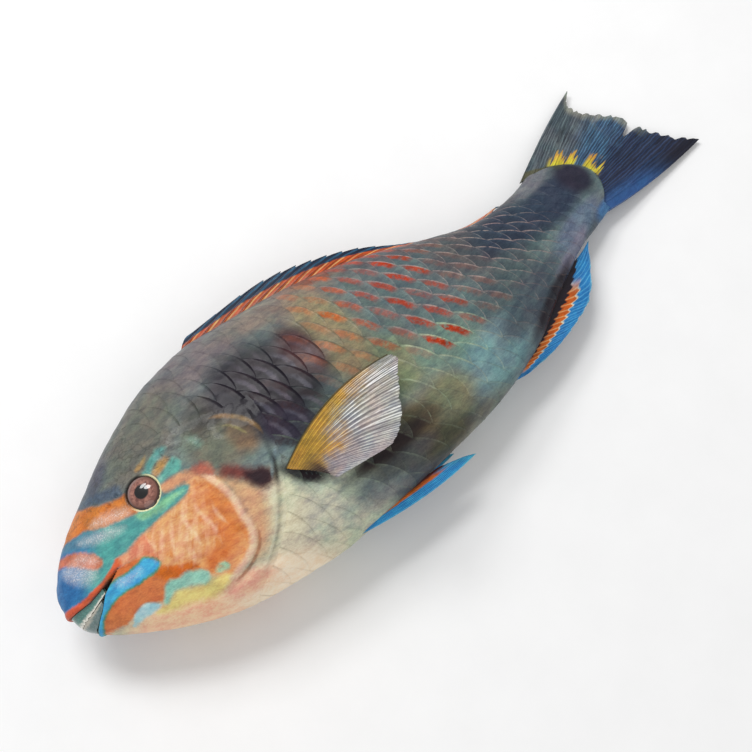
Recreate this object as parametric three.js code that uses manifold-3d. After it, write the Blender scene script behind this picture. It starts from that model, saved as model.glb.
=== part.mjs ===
// A parrotfish at life size, lying on its right flank, with its tail bent a little towards the back.
// Millimetres. The fish is shaped straight, in its own frame: x runs from the snout to the tail, y up to the
// back and z out to the left flank. Each part is then bent along the spine and laid down, so that +Z is up.
import * as THREE from "three";
import { mergeVertices } from "three/addons/utils/BufferGeometryUtils.js";
import Module from "manifold-3d";

const wasm = await Module();
wasm.setup();

// Driving dimensions
const GAP = 0.3; // clearance between parts that meet
const DORSAL_START = 96; // of the dorsal fin's root
const DORSAL_END = 262;
const AXIS_HEIGHT = 26; // of the fish's axis over the floor
const STALK_END = 306; // length from the snout to the end of the tail stalk
const TAIL_TIP = 348; // where the tail fin ends, along the axis
const TRUNK_END = 268; // joint between the trunk and the tail stalk
const TAIL_BASE = { x: 312, y: -1, curve: 0.034 }; // where the scales run out on the tail fin, a parabola
const TAIL_ROOT = { top: 23.5, bottom: -20.5 };
const BEND_START = 151; // where the spine starts to bend towards the back
const BEND = THREE.MathUtils.degToRad(25.6); // bend towards the back, up to the end of the stalk
const DROOP_START = 156; // where the tail starts to sink to the floor
const DROOP_END = 300; // where the sunk tail starts to level out
const DROOP = THREE.MathUtils.degToRad(-13.5);
const LEVEL_OUT = THREE.MathUtils.degToRad(12.5);
const BODY_RINGS = 44; // rings of the body along its length
const BODY_SIDES = 32; // corners of each ring
const RING_CROWDING = 1.3; // how much closer the rings lie towards the snout
const SNOUT_TIP = { x: -0.4, y: -16.5 };
const WIDE = 60; // reach of a side-view cut, past the body on each side

// Outline of the body: height of the back and of the belly over the axis, and half width, at some lengths
const OUTLINE = [
  { x: 0, back: -15, belly: -18, half: 1 }, // tip of the upper lip
  { x: 1, back: -10.5, belly: -23, half: 5 },
  { x: 3.5, back: -6, belly: -30, half: 8 }, // front of the beak
  { x: 10, back: 3, belly: -35.5, half: 11.5 },
  { x: 26, back: 17, belly: -44.5, half: 17 }, // corner of the mouth
  { x: 51, back: 36, belly: -54.5, half: 22 }, // eye
  { x: 78, back: 50.5, belly: -59.5, half: 25.5 }, // cheek
  { x: 106, back: 56, belly: -60, half: 27 }, // gill opening
  { x: 136, back: 56, belly: -56, half: 27 },
  { x: 166, back: 54, belly: -50, half: 25 },
  { x: 196, back: 48, belly: -45, half: 20.5 }, // vent
  { x: 226, back: 36.5, belly: -37.5, half: 15.5 },
  { x: 256, back: 24.5, belly: -26, half: 11 },
  { x: 281, back: 21.5, belly: -20.5, half: 8 }, // tail stalk
  { x: 298, back: 23, belly: -20.5, half: 5.5 },
  { x: 314, back: 26, belly: -26, half: 2.2 }, // scales that run out on the tail fin
];

// Eye: an ellipsoid that looks out of the head, with a soft rim round it
const EYE = { x: 54, y: 2, radius: 8.6, depth: 5.6, sunk: 2.8, rim: 1.1 };
const NOSTRILS = [[39, 6], [43.5, 8]];
const NOSTRIL_RADIUS = 1.1;
const EYE_AIM = new THREE.Vector3(-0.15, 0.11, 1).normalize();

// Lines of the mouth in the side view, from the front to the corner
const UPPER_LIP = [[-6, -23.2], [4, -23.4], [13, -23.3], [22, -21.1], [31, -18]];
const BITE = [[-6, -30.6], [3, -29.6], [11, -27.4], [20.5, -24]];
const LOWER_LIP = [[-6, -38.5], [8.5, -34], [16, -28.5], [20.5, -24], [31, -18]];
const UPPER_PLATE_END = [26, -20.4];
const LOWER_PLATE_END = [18.8, -25.3];
const JAW_HINGE = [[31, -18.4], [35, -30], [39, -45], [42, -66]];
const LIP_RISE = 0.9; // of the lips over the skin
const LIP_WIDTH = 3.6;
const BEAK_INSET = 0.4; // of the tooth plates under the skin

// Gill opening in the side view, from the nape to the throat, and the front edge of the gill cover
const GILL = [[88, 70], [93, 56], [100, 36], [107, 14], [107.5, 0], [104.5, -16], [99, -30], [92, -40], [82, -49],
  [68, -57], [58, -70]];
const COVER_TOP = 5;
const COVER_HEEL = [68, -53.5];
const COVER_DEPTH = 3; // distance of the gill cover's lower edge from the middle plane
const COVER_FRONT = [[86, 5], [83.5, -8], [83.5, -24], [84, -36], [78, -44], [68, -49.5]];
const COVER_THICKNESS = 2;
const COVER_RISE = 0.7;
const SEAT_GAP = 2; // free width behind and under the gill cover

const RIDGE_SHARE = 0.17; // half width of a fin ray's ridge, as a share of the distance between rays

const clamp = THREE.MathUtils.clamp;
const lerp = THREE.MathUtils.lerp;
const point = (x, y, z) => new THREE.Vector3(x, y, z);

// A smooth run of one column of the outline that doesn't overshoot between its rows
function alongBody(key) {
  const xs = OUTLINE.map((row) => row.x);
  const ys = OUTLINE.map((row) => row[key]);
  const steps = xs.slice(1).map((x, i) => x - xs[i]);
  const rises = steps.map((step, i) => (ys[i + 1] - ys[i]) / step);
  const slopes = xs.map((x, i) => {
    if (i === 0) return rises[0];
    if (i === rises.length) return rises[i - 1];
    if (rises[i - 1] * rises[i] <= 0) return 0;
    const before = 2 * steps[i] + steps[i - 1];
    const after = steps[i] + 2 * steps[i - 1];
    return (before + after) / (before / rises[i - 1] + after / rises[i]);
  });
  return (x) => {
    let i = xs.findIndex((end) => end > x) - 1;
    if (i < 0) i = x < xs[0] ? 0 : steps.length - 1;
    const t = clamp((x - xs[i]) / steps[i], 0, 1);
    const start = (1 + 2 * t) * (1 - t) ** 2 * ys[i] + t * (1 - t) ** 2 * steps[i] * slopes[i];
    const end = t * t * (3 - 2 * t) * ys[i + 1] + t * t * (t - 1) * steps[i] * slopes[i + 1];
    return start + end;
  };
}
const backAt = alongBody("back");
const bellyAt = alongBody("belly");
const halfAt = alongBody("half");

// Distance of the skin from the middle plane at a place in the side view
function skinAt(x, y) {
  const tall = (backAt(x) - bellyAt(x)) / 2;
  const middle = (backAt(x) + bellyAt(x)) / 2;
  return halfAt(x) * Math.sqrt(Math.max(0, 1 - ((y - middle) / tall) ** 2));
}

// Slope and offset at x of an axis that turns evenly by angle between start and end, and is straight beyond
function turn(x, start, end, angle) {
  const inside = clamp(x - start, 0, end - start);
  const slope = (angle * inside) / (end - start);
  const offset = (slope * inside) / 2 + Math.tan(angle) * Math.max(x - end, 0);
  return { slope, offset };
}

// Bends a point of the straight fish along its spine and lays it on its right flank
function lay(x, y, z) {
  const bend = turn(x, BEND_START, STALK_END, BEND);
  const droop = turn(x, DROOP_START, DROOP_END, DROOP);
  const level = turn(x, DROOP_END, TAIL_TIP, LEVEL_OUT);
  const tilt = droop.slope + level.slope;
  return point(
    x - Math.sin(bend.slope) * y - Math.sin(tilt) * z,
    Math.cos(bend.slope) * y + bend.offset,
    Math.cos(tilt) * z + droop.offset + level.offset + AXIS_HEIGHT,
  );
}

// Solids and geometries
function geometryOf(vertices, faces) {
  const geometry = new THREE.BufferGeometry();
  geometry.setAttribute("position", new THREE.Float32BufferAttribute(vertices.flatMap((v) => v.toArray()), 3));
  geometry.setIndex(faces);
  return geometry;
}

function solidOf(geometry) {
  const bare = geometry.clone();
  for (const name of Object.keys(bare.attributes)) {
    if (name !== "position") bare.deleteAttribute(name);
  }
  const merged = mergeVertices(bare, 1e-4);
  return new wasm.Manifold(new wasm.Mesh({
    numProp: 3,
    vertProperties: new Float32Array(merged.attributes.position.array),
    triVerts: new Uint32Array(merged.index.array),
  }));
}

function geometryFrom(solid) {
  const mesh = solid.getMesh();
  const geometry = new THREE.BufferGeometry();
  geometry.setAttribute("position", new THREE.BufferAttribute(new Float32Array(mesh.vertProperties), 3));
  geometry.setIndex(new THREE.BufferAttribute(new Uint32Array(mesh.triVerts), 1));
  return geometry;
}

// The biggest closed surface of a solid
function biggest(solid) {
  const bodies = solid.decompose();
  return bodies.reduce((most, body) => (body.volume() > most.volume() ? body : most));
}

// A closed skin over a grid of points, rows by columns, whose last column runs on to the first
function tubeFaces(rows, columns) {
  const faces = [];
  for (let i = 0; i < rows - 1; i += 1) {
    for (let j = 0; j < columns; j += 1) {
      const next = (j + 1) % columns;
      const a = 1 + i * columns + j;
      const b = 1 + i * columns + next;
      faces.push(a, a + columns, b, b, a + columns, b + columns);
    }
  }
  const last = rows * columns + 1;
  for (let j = 0; j < columns; j += 1) {
    const next = (j + 1) % columns;
    faces.push(0, 1 + j, 1 + next);
    faces.push(last, last - columns + next, last - columns + j);
  }
  return faces;
}

// The whole body as one closed form, moved out from its skin by grow
function bodyForm(grow) {
  const end = OUTLINE[OUTLINE.length - 1].x;
  const vertices = [point(SNOUT_TIP.x - grow, SNOUT_TIP.y, 0)];
  for (let i = 0; i < BODY_RINGS; i += 1) {
    const x = end * (i / (BODY_RINGS - 1)) ** RING_CROWDING;
    const tall = Math.max(0.3, (backAt(x) - bellyAt(x)) / 2 + grow);
    const middle = (backAt(x) + bellyAt(x)) / 2;
    const half = Math.max(0.3, halfAt(x) + grow);
    const front = -grow * Math.max(0, 1 - x / 4);
    for (let j = 0; j < BODY_SIDES; j += 1) {
      const angle = (2 * Math.PI * j) / BODY_SIDES;
      vertices.push(point(x + front, middle + tall * Math.sin(angle), half * Math.cos(angle)));
    }
  }
  vertices.push(point(end + 1, 0, 0));
  return solidOf(geometryOf(vertices, tubeFaces(BODY_RINGS, BODY_SIDES)));
}

// A prism across the fish over an outline in the side view
function sideCut(outline, low = -WIDE, high = WIDE) {
  const shape = new THREE.Shape(outline.map(([x, y]) => new THREE.Vector2(x, y)));
  const geometry = new THREE.ExtrudeGeometry(shape, { depth: high - low, bevelEnabled: false });
  return solidOf(geometry.translate(0, 0, low));
}

const moved = (line, dx, dy) => line.map(([x, y]) => [x + dx, y + dy]);
const backwards = (line) => [...line].reverse();

// A line in the side view as a smooth curve through its points
function smooth(line, count) {
  const curve = new THREE.SplineCurve(line.map(([x, y]) => new THREE.Vector2(x, y)));
  return curve.getPoints(count).map((p) => [p.x, p.y]);
}

// Length from the snout to the edge of the scales on the tail fin
const tailBaseAt = (y) => TAIL_BASE.x - TAIL_BASE.curve * (y - TAIL_BASE.y) ** 2;

function tailBaseLine() {
  const line = [];
  for (let y = -34; y <= 34; y += 4) line.push([tailBaseAt(y), y]);
  return line;
}

const body = bodyForm(0);
const bodyWithGap = bodyForm(GAP);
const gillLine = smooth(GILL, 24);

// Eyes
function eyeForm(side, grow) {
  const geometry = new THREE.SphereGeometry(1, 22, 12).rotateX(Math.PI / 2);
  const flat = EYE.radius + grow;
  geometry.scale(flat, flat, EYE.depth + grow);
  const aim = EYE_AIM.clone().setZ(EYE_AIM.z * side);
  geometry.applyQuaternion(new THREE.Quaternion().setFromUnitVectors(point(0, 0, side), aim));
  const centre = point(EYE.x, EYE.y, side * skinAt(EYE.x, EYE.y)).addScaledVector(aim, -EYE.sunk);
  return solidOf(geometry.translate(centre.x, centre.y, centre.z));
}

function eyeRim(side) {
  const aim = EYE_AIM.clone().setZ(EYE_AIM.z * side);
  const geometry = new THREE.TorusGeometry(EYE.radius - 0.2, EYE.rim, 6, 24);
  geometry.applyQuaternion(new THREE.Quaternion().setFromUnitVectors(point(0, 0, 1), aim));
  const centre = point(EYE.x, EYE.y, side * skinAt(EYE.x, EYE.y)).addScaledVector(aim, -0.3);
  return solidOf(geometry.translate(centre.x, centre.y, centre.z));
}

function nostril(side, x, y) {
  const geometry = new THREE.IcosahedronGeometry(NOSTRIL_RADIUS, 1);
  return solidOf(geometry.translate(x, y, side * skinAt(x, y)));
}

// Head, jaw and beak
const mouthGap = () => sideCut([...UPPER_LIP, ...backwards(LOWER_LIP).slice(1)]);

function jawArea(rear) {
  return sideCut([...LOWER_LIP, ...moved(JAW_HINGE, rear, 0), [-12, -66]]);
}

// A lip is a low fold that follows the mouth's line, LIP_WIDTH wide to the side that away tells
function lip(line, away) {
  const outer = moved(line, 0, away * LIP_WIDTH);
  const cut = sideCut(away > 0 ? [...line, ...backwards(outer)] : [...outer, ...backwards(line)]);
  return bodyForm(LIP_RISE).intersect(cut);
}

// The gill cover in the side view, with its rear edge and its heel moved out by spread
function coverOutline(spread) {
  const edge = gillLine.filter(([, y]) => y < COVER_TOP && y > COVER_HEEL[1]);
  const heel = [COVER_HEEL[0] - spread, COVER_HEEL[1] - spread];
  return [...backwards(smooth(COVER_FRONT, 14)), ...moved(edge, spread, 0), heel];
}

// An outline moved in by distance, corner by corner
function inset(outline, distance) {
  const count = outline.length;
  const direction = Math.sign(THREE.ShapeUtils.area(outline.map(([x, y]) => new THREE.Vector2(x, y))));
  return outline.map(([x, y], i) => {
    const before = outline[(i + count - 1) % count];
    const after = outline[(i + 1) % count];
    const along = new THREE.Vector2(after[0] - before[0], after[1] - before[1]).normalize();
    return [x - direction * distance * along.y, y + direction * distance * along.x];
  });
}

function flankCut(outline, side, from) {
  return side > 0 ? sideCut(outline, from, WIDE) : sideCut(outline, -WIDE, -from);
}

function gillCoverForm(side) {
  const plate = bodyForm(COVER_RISE).subtract(bodyForm(-COVER_THICKNESS));
  return plate.intersect(flankCut(inset(coverOutline(0), GAP), side, COVER_DEPTH));
}

function gillCoverSeat(side) {
  return flankCut(coverOutline(SEAT_GAP), side, COVER_DEPTH - GAP).subtract(bodyForm(-COVER_THICKNESS - GAP));
}

function headForm() {
  const area = sideCut([[-20, 90], ...gillLine, [-20, -70]]);
  let head = body.intersect(area).add(lip(UPPER_LIP, 1)).subtract(jawArea(GAP));
  for (const side of [1, -1]) {
    head = head.add(eyeRim(side)).subtract(eyeForm(side, GAP));
    for (const [x, y] of NOSTRILS) head = head.subtract(nostril(side, x, y));
    head = head.subtract(gillCoverSeat(side));
  }
  return head.subtract(mouthGap());
}

function jawForm() {
  return body.add(lip(LOWER_LIP, -1)).intersect(jawArea(0)).subtract(mouthGap());
}

function upperPlateForm() {
  const top = moved(UPPER_LIP.slice(0, -1), 0, -GAP);
  const bottom = moved(BITE, 0, GAP / 2);
  return bodyForm(-BEAK_INSET).intersect(sideCut([...top, UPPER_PLATE_END, ...backwards(bottom)]));
}

function lowerPlateForm() {
  const top = moved(BITE.slice(0, -1), 0, -GAP / 2);
  const bottom = moved(LOWER_LIP.slice(0, -2), 0, GAP);
  return bodyForm(-BEAK_INSET).intersect(sideCut([...top, LOWER_PLATE_END, ...backwards(bottom)]));
}

// Trunk and tail stalk
function trunkForm() {
  const front = moved(gillLine, GAP + 0.1, 0);
  return body.intersect(sideCut([...front, [TRUNK_END, -70], [TRUNK_END, 90]].reverse()));
}

function stalkForm() {
  const start = TRUNK_END + GAP;
  return body.intersect(sideCut([[start, -34], ...tailBaseLine(), [start, 34]]));
}

// Fins. A fin is a sheet of rays from s = 0, the first ray, to s = 1, each from its root, v = 0, to its tip,
// v = 1. Every ray is a ridge on both faces, and the edge runs in between the tips by notch.
function finForm({ sheet, rays, steps, membrane, ridge, taper = 0.5, notch = 0, grow = 0 }) {
  const pitch = 1 / (rays - 1);
  const ridgeWidth = RIDGE_SHARE * pitch;
  const columns = [];
  for (let i = 0; i < rays; i += 1) {
    const s = i * pitch;
    if (i > 0) columns.push({ s: s - ridgeWidth, high: 0, reach: 1 - notch / 2 });
    columns.push({ s, high: ridge, reach: 1 });
    if (i < rays - 1) columns.push({ s: s + ridgeWidth, high: 0, reach: 1 - notch / 2 });
    if (i < rays - 1 && notch > 0) columns.push({ s: s + pitch / 2, high: 0, reach: 1 - notch });
  }
  const faces = [];
  const front = [];
  const back = [];
  const step = 1e-3;
  for (const { s, high, reach } of columns) {
    for (let j = 0; j <= steps; j += 1) {
      const v = (j / steps) * reach;
      const here = sheet(s, v);
      const inner = clamp(s, step, 1 - step);
      const across = sheet(inner + step, v).sub(sheet(inner - step, v));
      const along = sheet(s, v + step).sub(sheet(s, v - step));
      const normal = across.cross(along).normalize();
      const thick = (membrane + high) * lerp(1, taper, v) / 2 + grow;
      front.push(here.clone().addScaledVector(normal, thick));
      back.push(here.clone().addScaledVector(normal, -thick));
    }
  }
  const row = steps + 1;
  const offset = front.length;
  for (let i = 0; i < columns.length - 1; i += 1) {
    for (let j = 0; j < steps; j += 1) {
      const a = i * row + j;
      const b = a + row;
      faces.push(a, b, b + 1, a, b + 1, a + 1);
      faces.push(offset + a, offset + b + 1, offset + b, offset + a, offset + a + 1, offset + b + 1);
    }
  }
  const edge = [];
  for (let j = 0; j < steps; j += 1) edge.push(j);
  for (let i = 0; i < columns.length - 1; i += 1) edge.push(i * row + steps);
  for (let j = steps; j > 0; j -= 1) edge.push((columns.length - 1) * row + j);
  for (let i = columns.length - 1; i > 0; i -= 1) edge.push(i * row);
  edge.forEach((a, i) => {
    const b = edge[(i + 1) % edge.length];
    faces.push(a, b, offset + b, a, offset + b, offset + a);
  });
  const solid = solidOf(geometryOf([...front, ...back], faces));
  return solid.volume() > 0 ? solid : solidOf(geometryOf([...front, ...back], turned(faces)));
}

function turned(faces) {
  return faces.map((face, i) => (i % 3 === 1 ? faces[i + 1] : i % 3 === 2 ? faces[i - 1] : face));
}

// A sheet between the curves through root points and tip points, each ray bowed by the vector that bow gives
function sheetBetween(roots, tips, bow = () => point(0, 0, 0)) {
  const rootCurve = new THREE.CatmullRomCurve3(roots.map((p) => point(...p)));
  const tipCurve = new THREE.CatmullRomCurve3(tips.map((p) => point(...p)));
  return (s, v) => {
    const along = clamp(s, 0, 1);
    const start = rootCurve.getPoint(along);
    const end = tipCurve.getPoint(along);
    return start.lerp(end, v).addScaledVector(bow(along), 4 * v * (1 - v));
  };
}

// The dorsal fin is folded back. Its soft rear rays have flopped towards the floor.
const dorsalSheet = (() => {
  const tips = [[103, 60.2, 0], [145, 65.2, 0], [173, 61.8, -0.5], [199, 54.4, -2.6], [224, 42, -7], [249, 30, -10.2],
    [276, 24, -9.2]];
  const tipCurve = new THREE.CatmullRomCurve3(tips.map((p) => point(...p)));
  return (s, v) => {
    const along = clamp(s, 0, 1);
    const x = lerp(DORSAL_START, DORSAL_END, along);
    return point(x, backAt(x) - 1.5, 0).lerp(tipCurve.getPoint(along), v).add(point(0, 4.5 * v * (1 - v), 0));
  };
})();

const analSheet = sheetBetween(
  [[207, -40.2, 0], [220, -37.2, 0], [234, -32.6, 0], [249, -26.8, 0], [265, -21.8, 0]],
  [[218, -42.6, -1], [232, -43.4, -2], [246, -42, -2.5], [260, -38.8, -2.5], [281.5, -21, -1]],
  () => point(0, -0.8, -0.6),
);

// The tail fin's free edge is scalloped, and its lower corner is drawn out
const caudalSheet = (() => {
  const tips = [[346.5, 30, 0], [338.5, 25, 0.4], [339, 17, 0.6], [342.5, 9, 0.3], [346.5, 0, 0], [347, -9, -0.2],
    [347.5, -17, 0.2], [350.5, -28, 0.3], [356.5, -40, -0.3]];
  const tipCurve = new THREE.CatmullRomCurve3(tips.map((p) => point(...p)), false, "centripetal");
  return (s, v) => {
    const y = lerp(TAIL_ROOT.top, TAIL_ROOT.bottom, clamp(s, 0, 1));
    const start = point(tailBaseAt(y) + GAP, y, 0);
    const edge = 2 * clamp(s, 0, 1) - 1;
    const bow = point(0, -1.5 * edge ** 3, 0);
    return start.lerp(tipCurve.getPoint(clamp(s, 0, 1)), v).addScaledVector(bow, 4 * v * (1 - v));
  };
})();

// The left pectoral fin stands off the flank
const pectoralLeftSheet = sheetBetween(
  [[110, -19, 24.6], [110.2, -21.5, 24.2], [109.8, -24, 23.7], [109, -26.5, 23]],
  [[168, -5, 34], [170, -8.5, 34.5], [164.5, -18, 35], [158, -30.5, 35], [151, -37.2, 34], [139, -37.5, 32.5],
    [124, -36.6, 30.5]],
  (s) => point(0, lerp(5.5, -1, s), 1.5),
);

// The right pectoral fin is pressed flat between the flank and the floor
const flatLevel = -AXIS_HEIGHT + 1;
const pectoralRightSheet = sheetBetween(
  [[111, -12, flatLevel], [111.5, -14.5, flatLevel], [111.5, -17, flatLevel], [111, -19.5, flatLevel]],
  [[170, -1, flatLevel], [174, -5, flatLevel], [171, -11, flatLevel], [164, -17, flatLevel], [154, -21, flatLevel]],
);

const pelvicSheet = (roots, tips) => sheetBetween(roots, tips, (s) => point(0, lerp(-2.2, 0.4, s), 0));
const pelvicLeftSheet = pelvicSheet(
  [[118, -57.2, 3], [120.5, -56.2, 3.8], [123, -55.2, 4.6]],
  [[178.5, -55.5, -1], [174, -53.6, -0.4], [163, -51, 0.6]],
);
const pelvicRightSheet = pelvicSheet(
  [[116, -50.5, -14], [118.5, -49.6, -14.8], [121, -48.8, -15.4]],
  [[174, -48.2, -13], [170, -46.4, -13.6], [162, -45, -14.2]],
);

function paired(sheet) {
  return finForm({ sheet, rays: 14, steps: 4, membrane: 0.6, ridge: 0.6, taper: 0.6 }).subtract(bodyWithGap);
}

function pelvic(sheet) {
  return finForm({ sheet, rays: 6, steps: 5, membrane: 0.8, ridge: 0.7, taper: 0.6 }).subtract(bodyWithGap);
}

const fins = {
  dorsal: () => finForm({ sheet: dorsalSheet, rays: 19, steps: 3, membrane: 0.7, ridge: 0.7, notch: 0.12 })
    .subtract(bodyWithGap),
  anal: () => finForm({ sheet: analSheet, rays: 12, steps: 3, membrane: 0.7, ridge: 0.6, notch: 0.06 })
    .subtract(bodyWithGap),
  caudal: () => finForm({ sheet: caudalSheet, rays: 15, steps: 5, membrane: 2.2, ridge: 0.9, taper: 0.3, notch: 0.03 }),
  pectoralLeft: () => paired(pectoralLeftSheet),
  pectoralRight: () => finForm({ sheet: pectoralRightSheet, rays: 14, steps: 3, membrane: 0.6, ridge: 0.5, taper: 0.8 }),
  pelvicLeft: () => pelvic(pelvicLeftSheet),
  pelvicRight: () => pelvic(pelvicRightSheet),
};

// The hollow in the right flank that the pressed fin lies in
function finHollow() {
  const wide = (s, v) => pectoralRightSheet(s, -0.03 + 1.05 * v).add(point(0, lerp(0.9, -0.9, s), 0));
  return finForm({ sheet: wide, rays: 6, steps: 3, membrane: 4, ridge: 0, taper: 1 });
}

// Bends a straight solid, and cuts off what would be under the floor
function laid(solid) {
  const geometry = geometryFrom(biggest(solid));
  const places = geometry.attributes.position;
  for (let i = 0; i < places.count; i += 1) {
    const place = lay(places.getX(i), places.getY(i), places.getZ(i));
    places.setXYZ(i, place.x, place.y, place.z);
  }
  const whole = solidOf(geometry);
  geometry.computeBoundingBox();
  if (geometry.boundingBox.min.z > 0) return whole;
  const floor = new THREE.BoxGeometry(900, 900, WIDE).translate(0, 0, -WIDE / 2);
  return biggest(whole.subtract(solidOf(floor)));
}

// Finishes
const finish = (name, color, roughness) => new THREE.MeshStandardMaterial({ name, color, roughness, metalness: 0 });
const skin = (color) => finish("skin", color, 0.35);
const finMembrane = (color) => finish("fin", color, 0.4);
const eyeFinish = () => finish("eye", 0x5b3a3a, 0.08);
const beakFinish = (color) => finish("beak", color, 0.3);

const parts = [
  ["head", headForm(), skin(0xb98a62)],
  ["lower_jaw", jawForm(), skin(0xd07a4a)],
  ["beak_upper", upperPlateForm(), beakFinish(0x5f8f86)],
  ["beak_lower", lowerPlateForm(), beakFinish(0x8d9aa0)],
  ["eye_left", eyeForm(1, 0), eyeFinish()],
  ["eye_right", eyeForm(-1, 0), eyeFinish()],
  ["gill_cover_left", gillCoverForm(1), skin(0xd9c3a6)],
  ["gill_cover_right", gillCoverForm(-1), skin(0xd9c3a6)],
  ["trunk", trunkForm().subtract(finHollow()), skin(0x6f8a86)],
  ["tail_stalk", stalkForm(), skin(0x3f5560)],
  ["dorsal_fin", fins.dorsal(), finMembrane(0xd2611f)],
  ["anal_fin", fins.anal(), finMembrane(0x1f78c8)],
  ["tail_fin", fins.caudal(), finMembrane(0x34465e)],
  ["pectoral_fin_left", fins.pectoralLeft(), finMembrane(0xc9b46a)],
  ["pectoral_fin_right", fins.pectoralRight(), finMembrane(0xc9b46a)],
  ["pelvic_fin_left", fins.pelvicLeft(), finMembrane(0x1f8fd8)],
  ["pelvic_fin_right", fins.pelvicRight(), finMembrane(0x1f8fd8)],
];

const fish = new THREE.Group();
for (const [name, solid, material] of parts) {
  const geometry = geometryFrom(laid(solid));
  geometry.computeVertexNormals();
  const mesh = new THREE.Mesh(geometry, material);
  mesh.name = name;
  fish.add(mesh);
}

// The origin is on the floor, under the middle of the whole fish
const extent = new THREE.Box3().setFromObject(fish);
const centre = extent.getCenter(new THREE.Vector3());
fish.position.set(-centre.x, -centre.y, -extent.min.z);

export default fish;
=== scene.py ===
"""A parrotfish at life size, lying on its right flank: its skin, scales, fins, eyes and beak."""
import math

import bpy
import numpy as np
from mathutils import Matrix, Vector


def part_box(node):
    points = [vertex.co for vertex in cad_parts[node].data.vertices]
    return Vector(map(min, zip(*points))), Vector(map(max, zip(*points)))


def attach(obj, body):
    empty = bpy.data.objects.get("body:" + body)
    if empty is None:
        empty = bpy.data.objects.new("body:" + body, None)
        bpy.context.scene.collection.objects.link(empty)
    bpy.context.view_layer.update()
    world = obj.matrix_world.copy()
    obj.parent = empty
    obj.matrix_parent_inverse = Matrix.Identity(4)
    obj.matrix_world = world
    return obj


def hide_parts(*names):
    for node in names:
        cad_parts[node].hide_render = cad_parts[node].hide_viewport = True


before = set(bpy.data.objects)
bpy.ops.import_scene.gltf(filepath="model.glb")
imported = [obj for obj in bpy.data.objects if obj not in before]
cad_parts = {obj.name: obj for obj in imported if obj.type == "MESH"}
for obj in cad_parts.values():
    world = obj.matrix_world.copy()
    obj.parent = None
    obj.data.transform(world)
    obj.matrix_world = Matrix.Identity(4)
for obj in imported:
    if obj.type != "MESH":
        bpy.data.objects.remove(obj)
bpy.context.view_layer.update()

# Driving sizes in millimetres, in the fish's own straight frame: x from the snout to the tail, y up to the
# back and z out to the left flank. They are those of the solids.
MM = 0.001
AXIS_HEIGHT = 26
BEND_START, STALK_END, BEND = 151, 306, math.radians(25.6)
DROOP_START, DROOP_END, DROOP = 156, 300, math.radians(-13.5)
TAIL_TIP, LEVEL_OUT = 348, math.radians(12.5)
BODY_END = 314
SNOUT_TIP = (-0.4, -16.5)
TAIL_BASE_X, TAIL_BASE_Y, TAIL_BASE_CURVE = 312, -1, 0.034
TAIL_ROOT_TOP, TAIL_ROOT_BOTTOM = 23.5, -20.5
DORSAL_START, DORSAL_END = 96, 262
GAP = 0.3

# Outline of the body: length, height of the back and of the belly over the axis, half width
OUTLINE = np.array([
    (0, -15, -18, 1), (1, -10.5, -23, 5), (3.5, -6, -30, 8), (10, 3, -35.5, 11.5), (26, 17, -44.5, 17),
    (51, 36, -54.5, 22), (78, 50.5, -59.5, 25.5), (106, 56, -60, 27), (136, 56, -56, 27), (166, 54, -50, 25),
    (196, 48, -45, 20.5), (226, 36.5, -37.5, 15.5), (256, 24.5, -26, 11), (281, 21.5, -20.5, 8),
    (298, 23, -20.5, 5.5), (314, 26, -26, 2.2),
], float)

EYE_PLACE = (54, 2)
EYE_RADIUS, EYE_DEPTH, EYE_SUNK = 8.6, 5.6, 2.8
EYE_AIM = np.array((-0.15, 0.11, 1)) / np.linalg.norm((-0.15, 0.11, 1))
IRIS_RADIUS, PUPIL_RADIUS = 6.5, 2.9
NOSTRILS = ((39, 6), (43.5, 8))

UPPER_LIP = ((-6, -23.2), (4, -23.4), (13, -23.3), (22, -21.1), (31, -18))
BITE = ((-6, -30.6), (3, -29.6), (11, -27.4), (20.5, -24))
LOWER_LIP = ((-6, -38.5), (8.5, -34), (16, -28.5), (20.5, -24), (31, -18))
MOUTH_CORNER = 31
LIP_RISE, LIP_WIDTH, MOUTH_DEPTH = 0.9, 3.6, 2.4
GILL = ((88, 70), (93, 56), (100, 36), (107, 14), (107.5, 0), (104.5, -16), (99, -30), (92, -40), (82, -49),
        (68, -57), (58, -70))
COVER_TOP, COVER_BOTTOM = 7, -52
CREST = ((76, -3.5), (79.6, -8), (82.6, -14), (84, -21), (83.6, -28), (84.2, -33), (82.4, -38), (78.4, -42),
         (71.5, -45), (63, -46.5))
# Pale streaks of the cheek, on the rims of its scales
CHEEK_STREAKS = (
    ((52, -28.5), (54.6, -21), (58.6, -13)), ((48.5, -24), (51, -19), (54.6, -13.4)),
    ((57, -30), (59.5, -24.5), (63, -20.5)), ((63, -31), (63.6, -24), (62.6, -18), (64.4, -11.6)),
    ((60.4, -25.4), (64, -22), (67.4, -18.4)), ((70.8, -33), (71.4, -26), (69.8, -19.4), (69, -13)),
    ((77, -28), (75.4, -22), (76.2, -16.2)), ((46, -14.6), (46.8, -19), (46, -23)),
    ((64, -12), (68, -9.6)), ((56, -35), (59, -31), (60, -27)),
)

PECTORAL_FOLD = ((106, -21), (114, -27), (122, -32.5), (128, -35))
ANAL_FOLD = ((228, -32.5), (245, -26.5), (262, -20.8), (272, -20))

# Scales: distance along the body and between rows where they are biggest, and how they shrink to the tail
SCALE_PITCH, SCALE_ROW, ROW_OFFSET = 9.4, 12, -4.6
SCALE_TIP = 194.4
LAST_SCALES = 300
SHRINK_START, SHRINK_END, SHRINK = 185, 275, 0.3
SCALE_HALF_LENGTH, SCALE_HALF_WIDTH, SCALE_SHEAR = 10.7, 14.5, 0.39
ROW_LEAN = 0.07
COAT_DEPTH = 0.4


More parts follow.
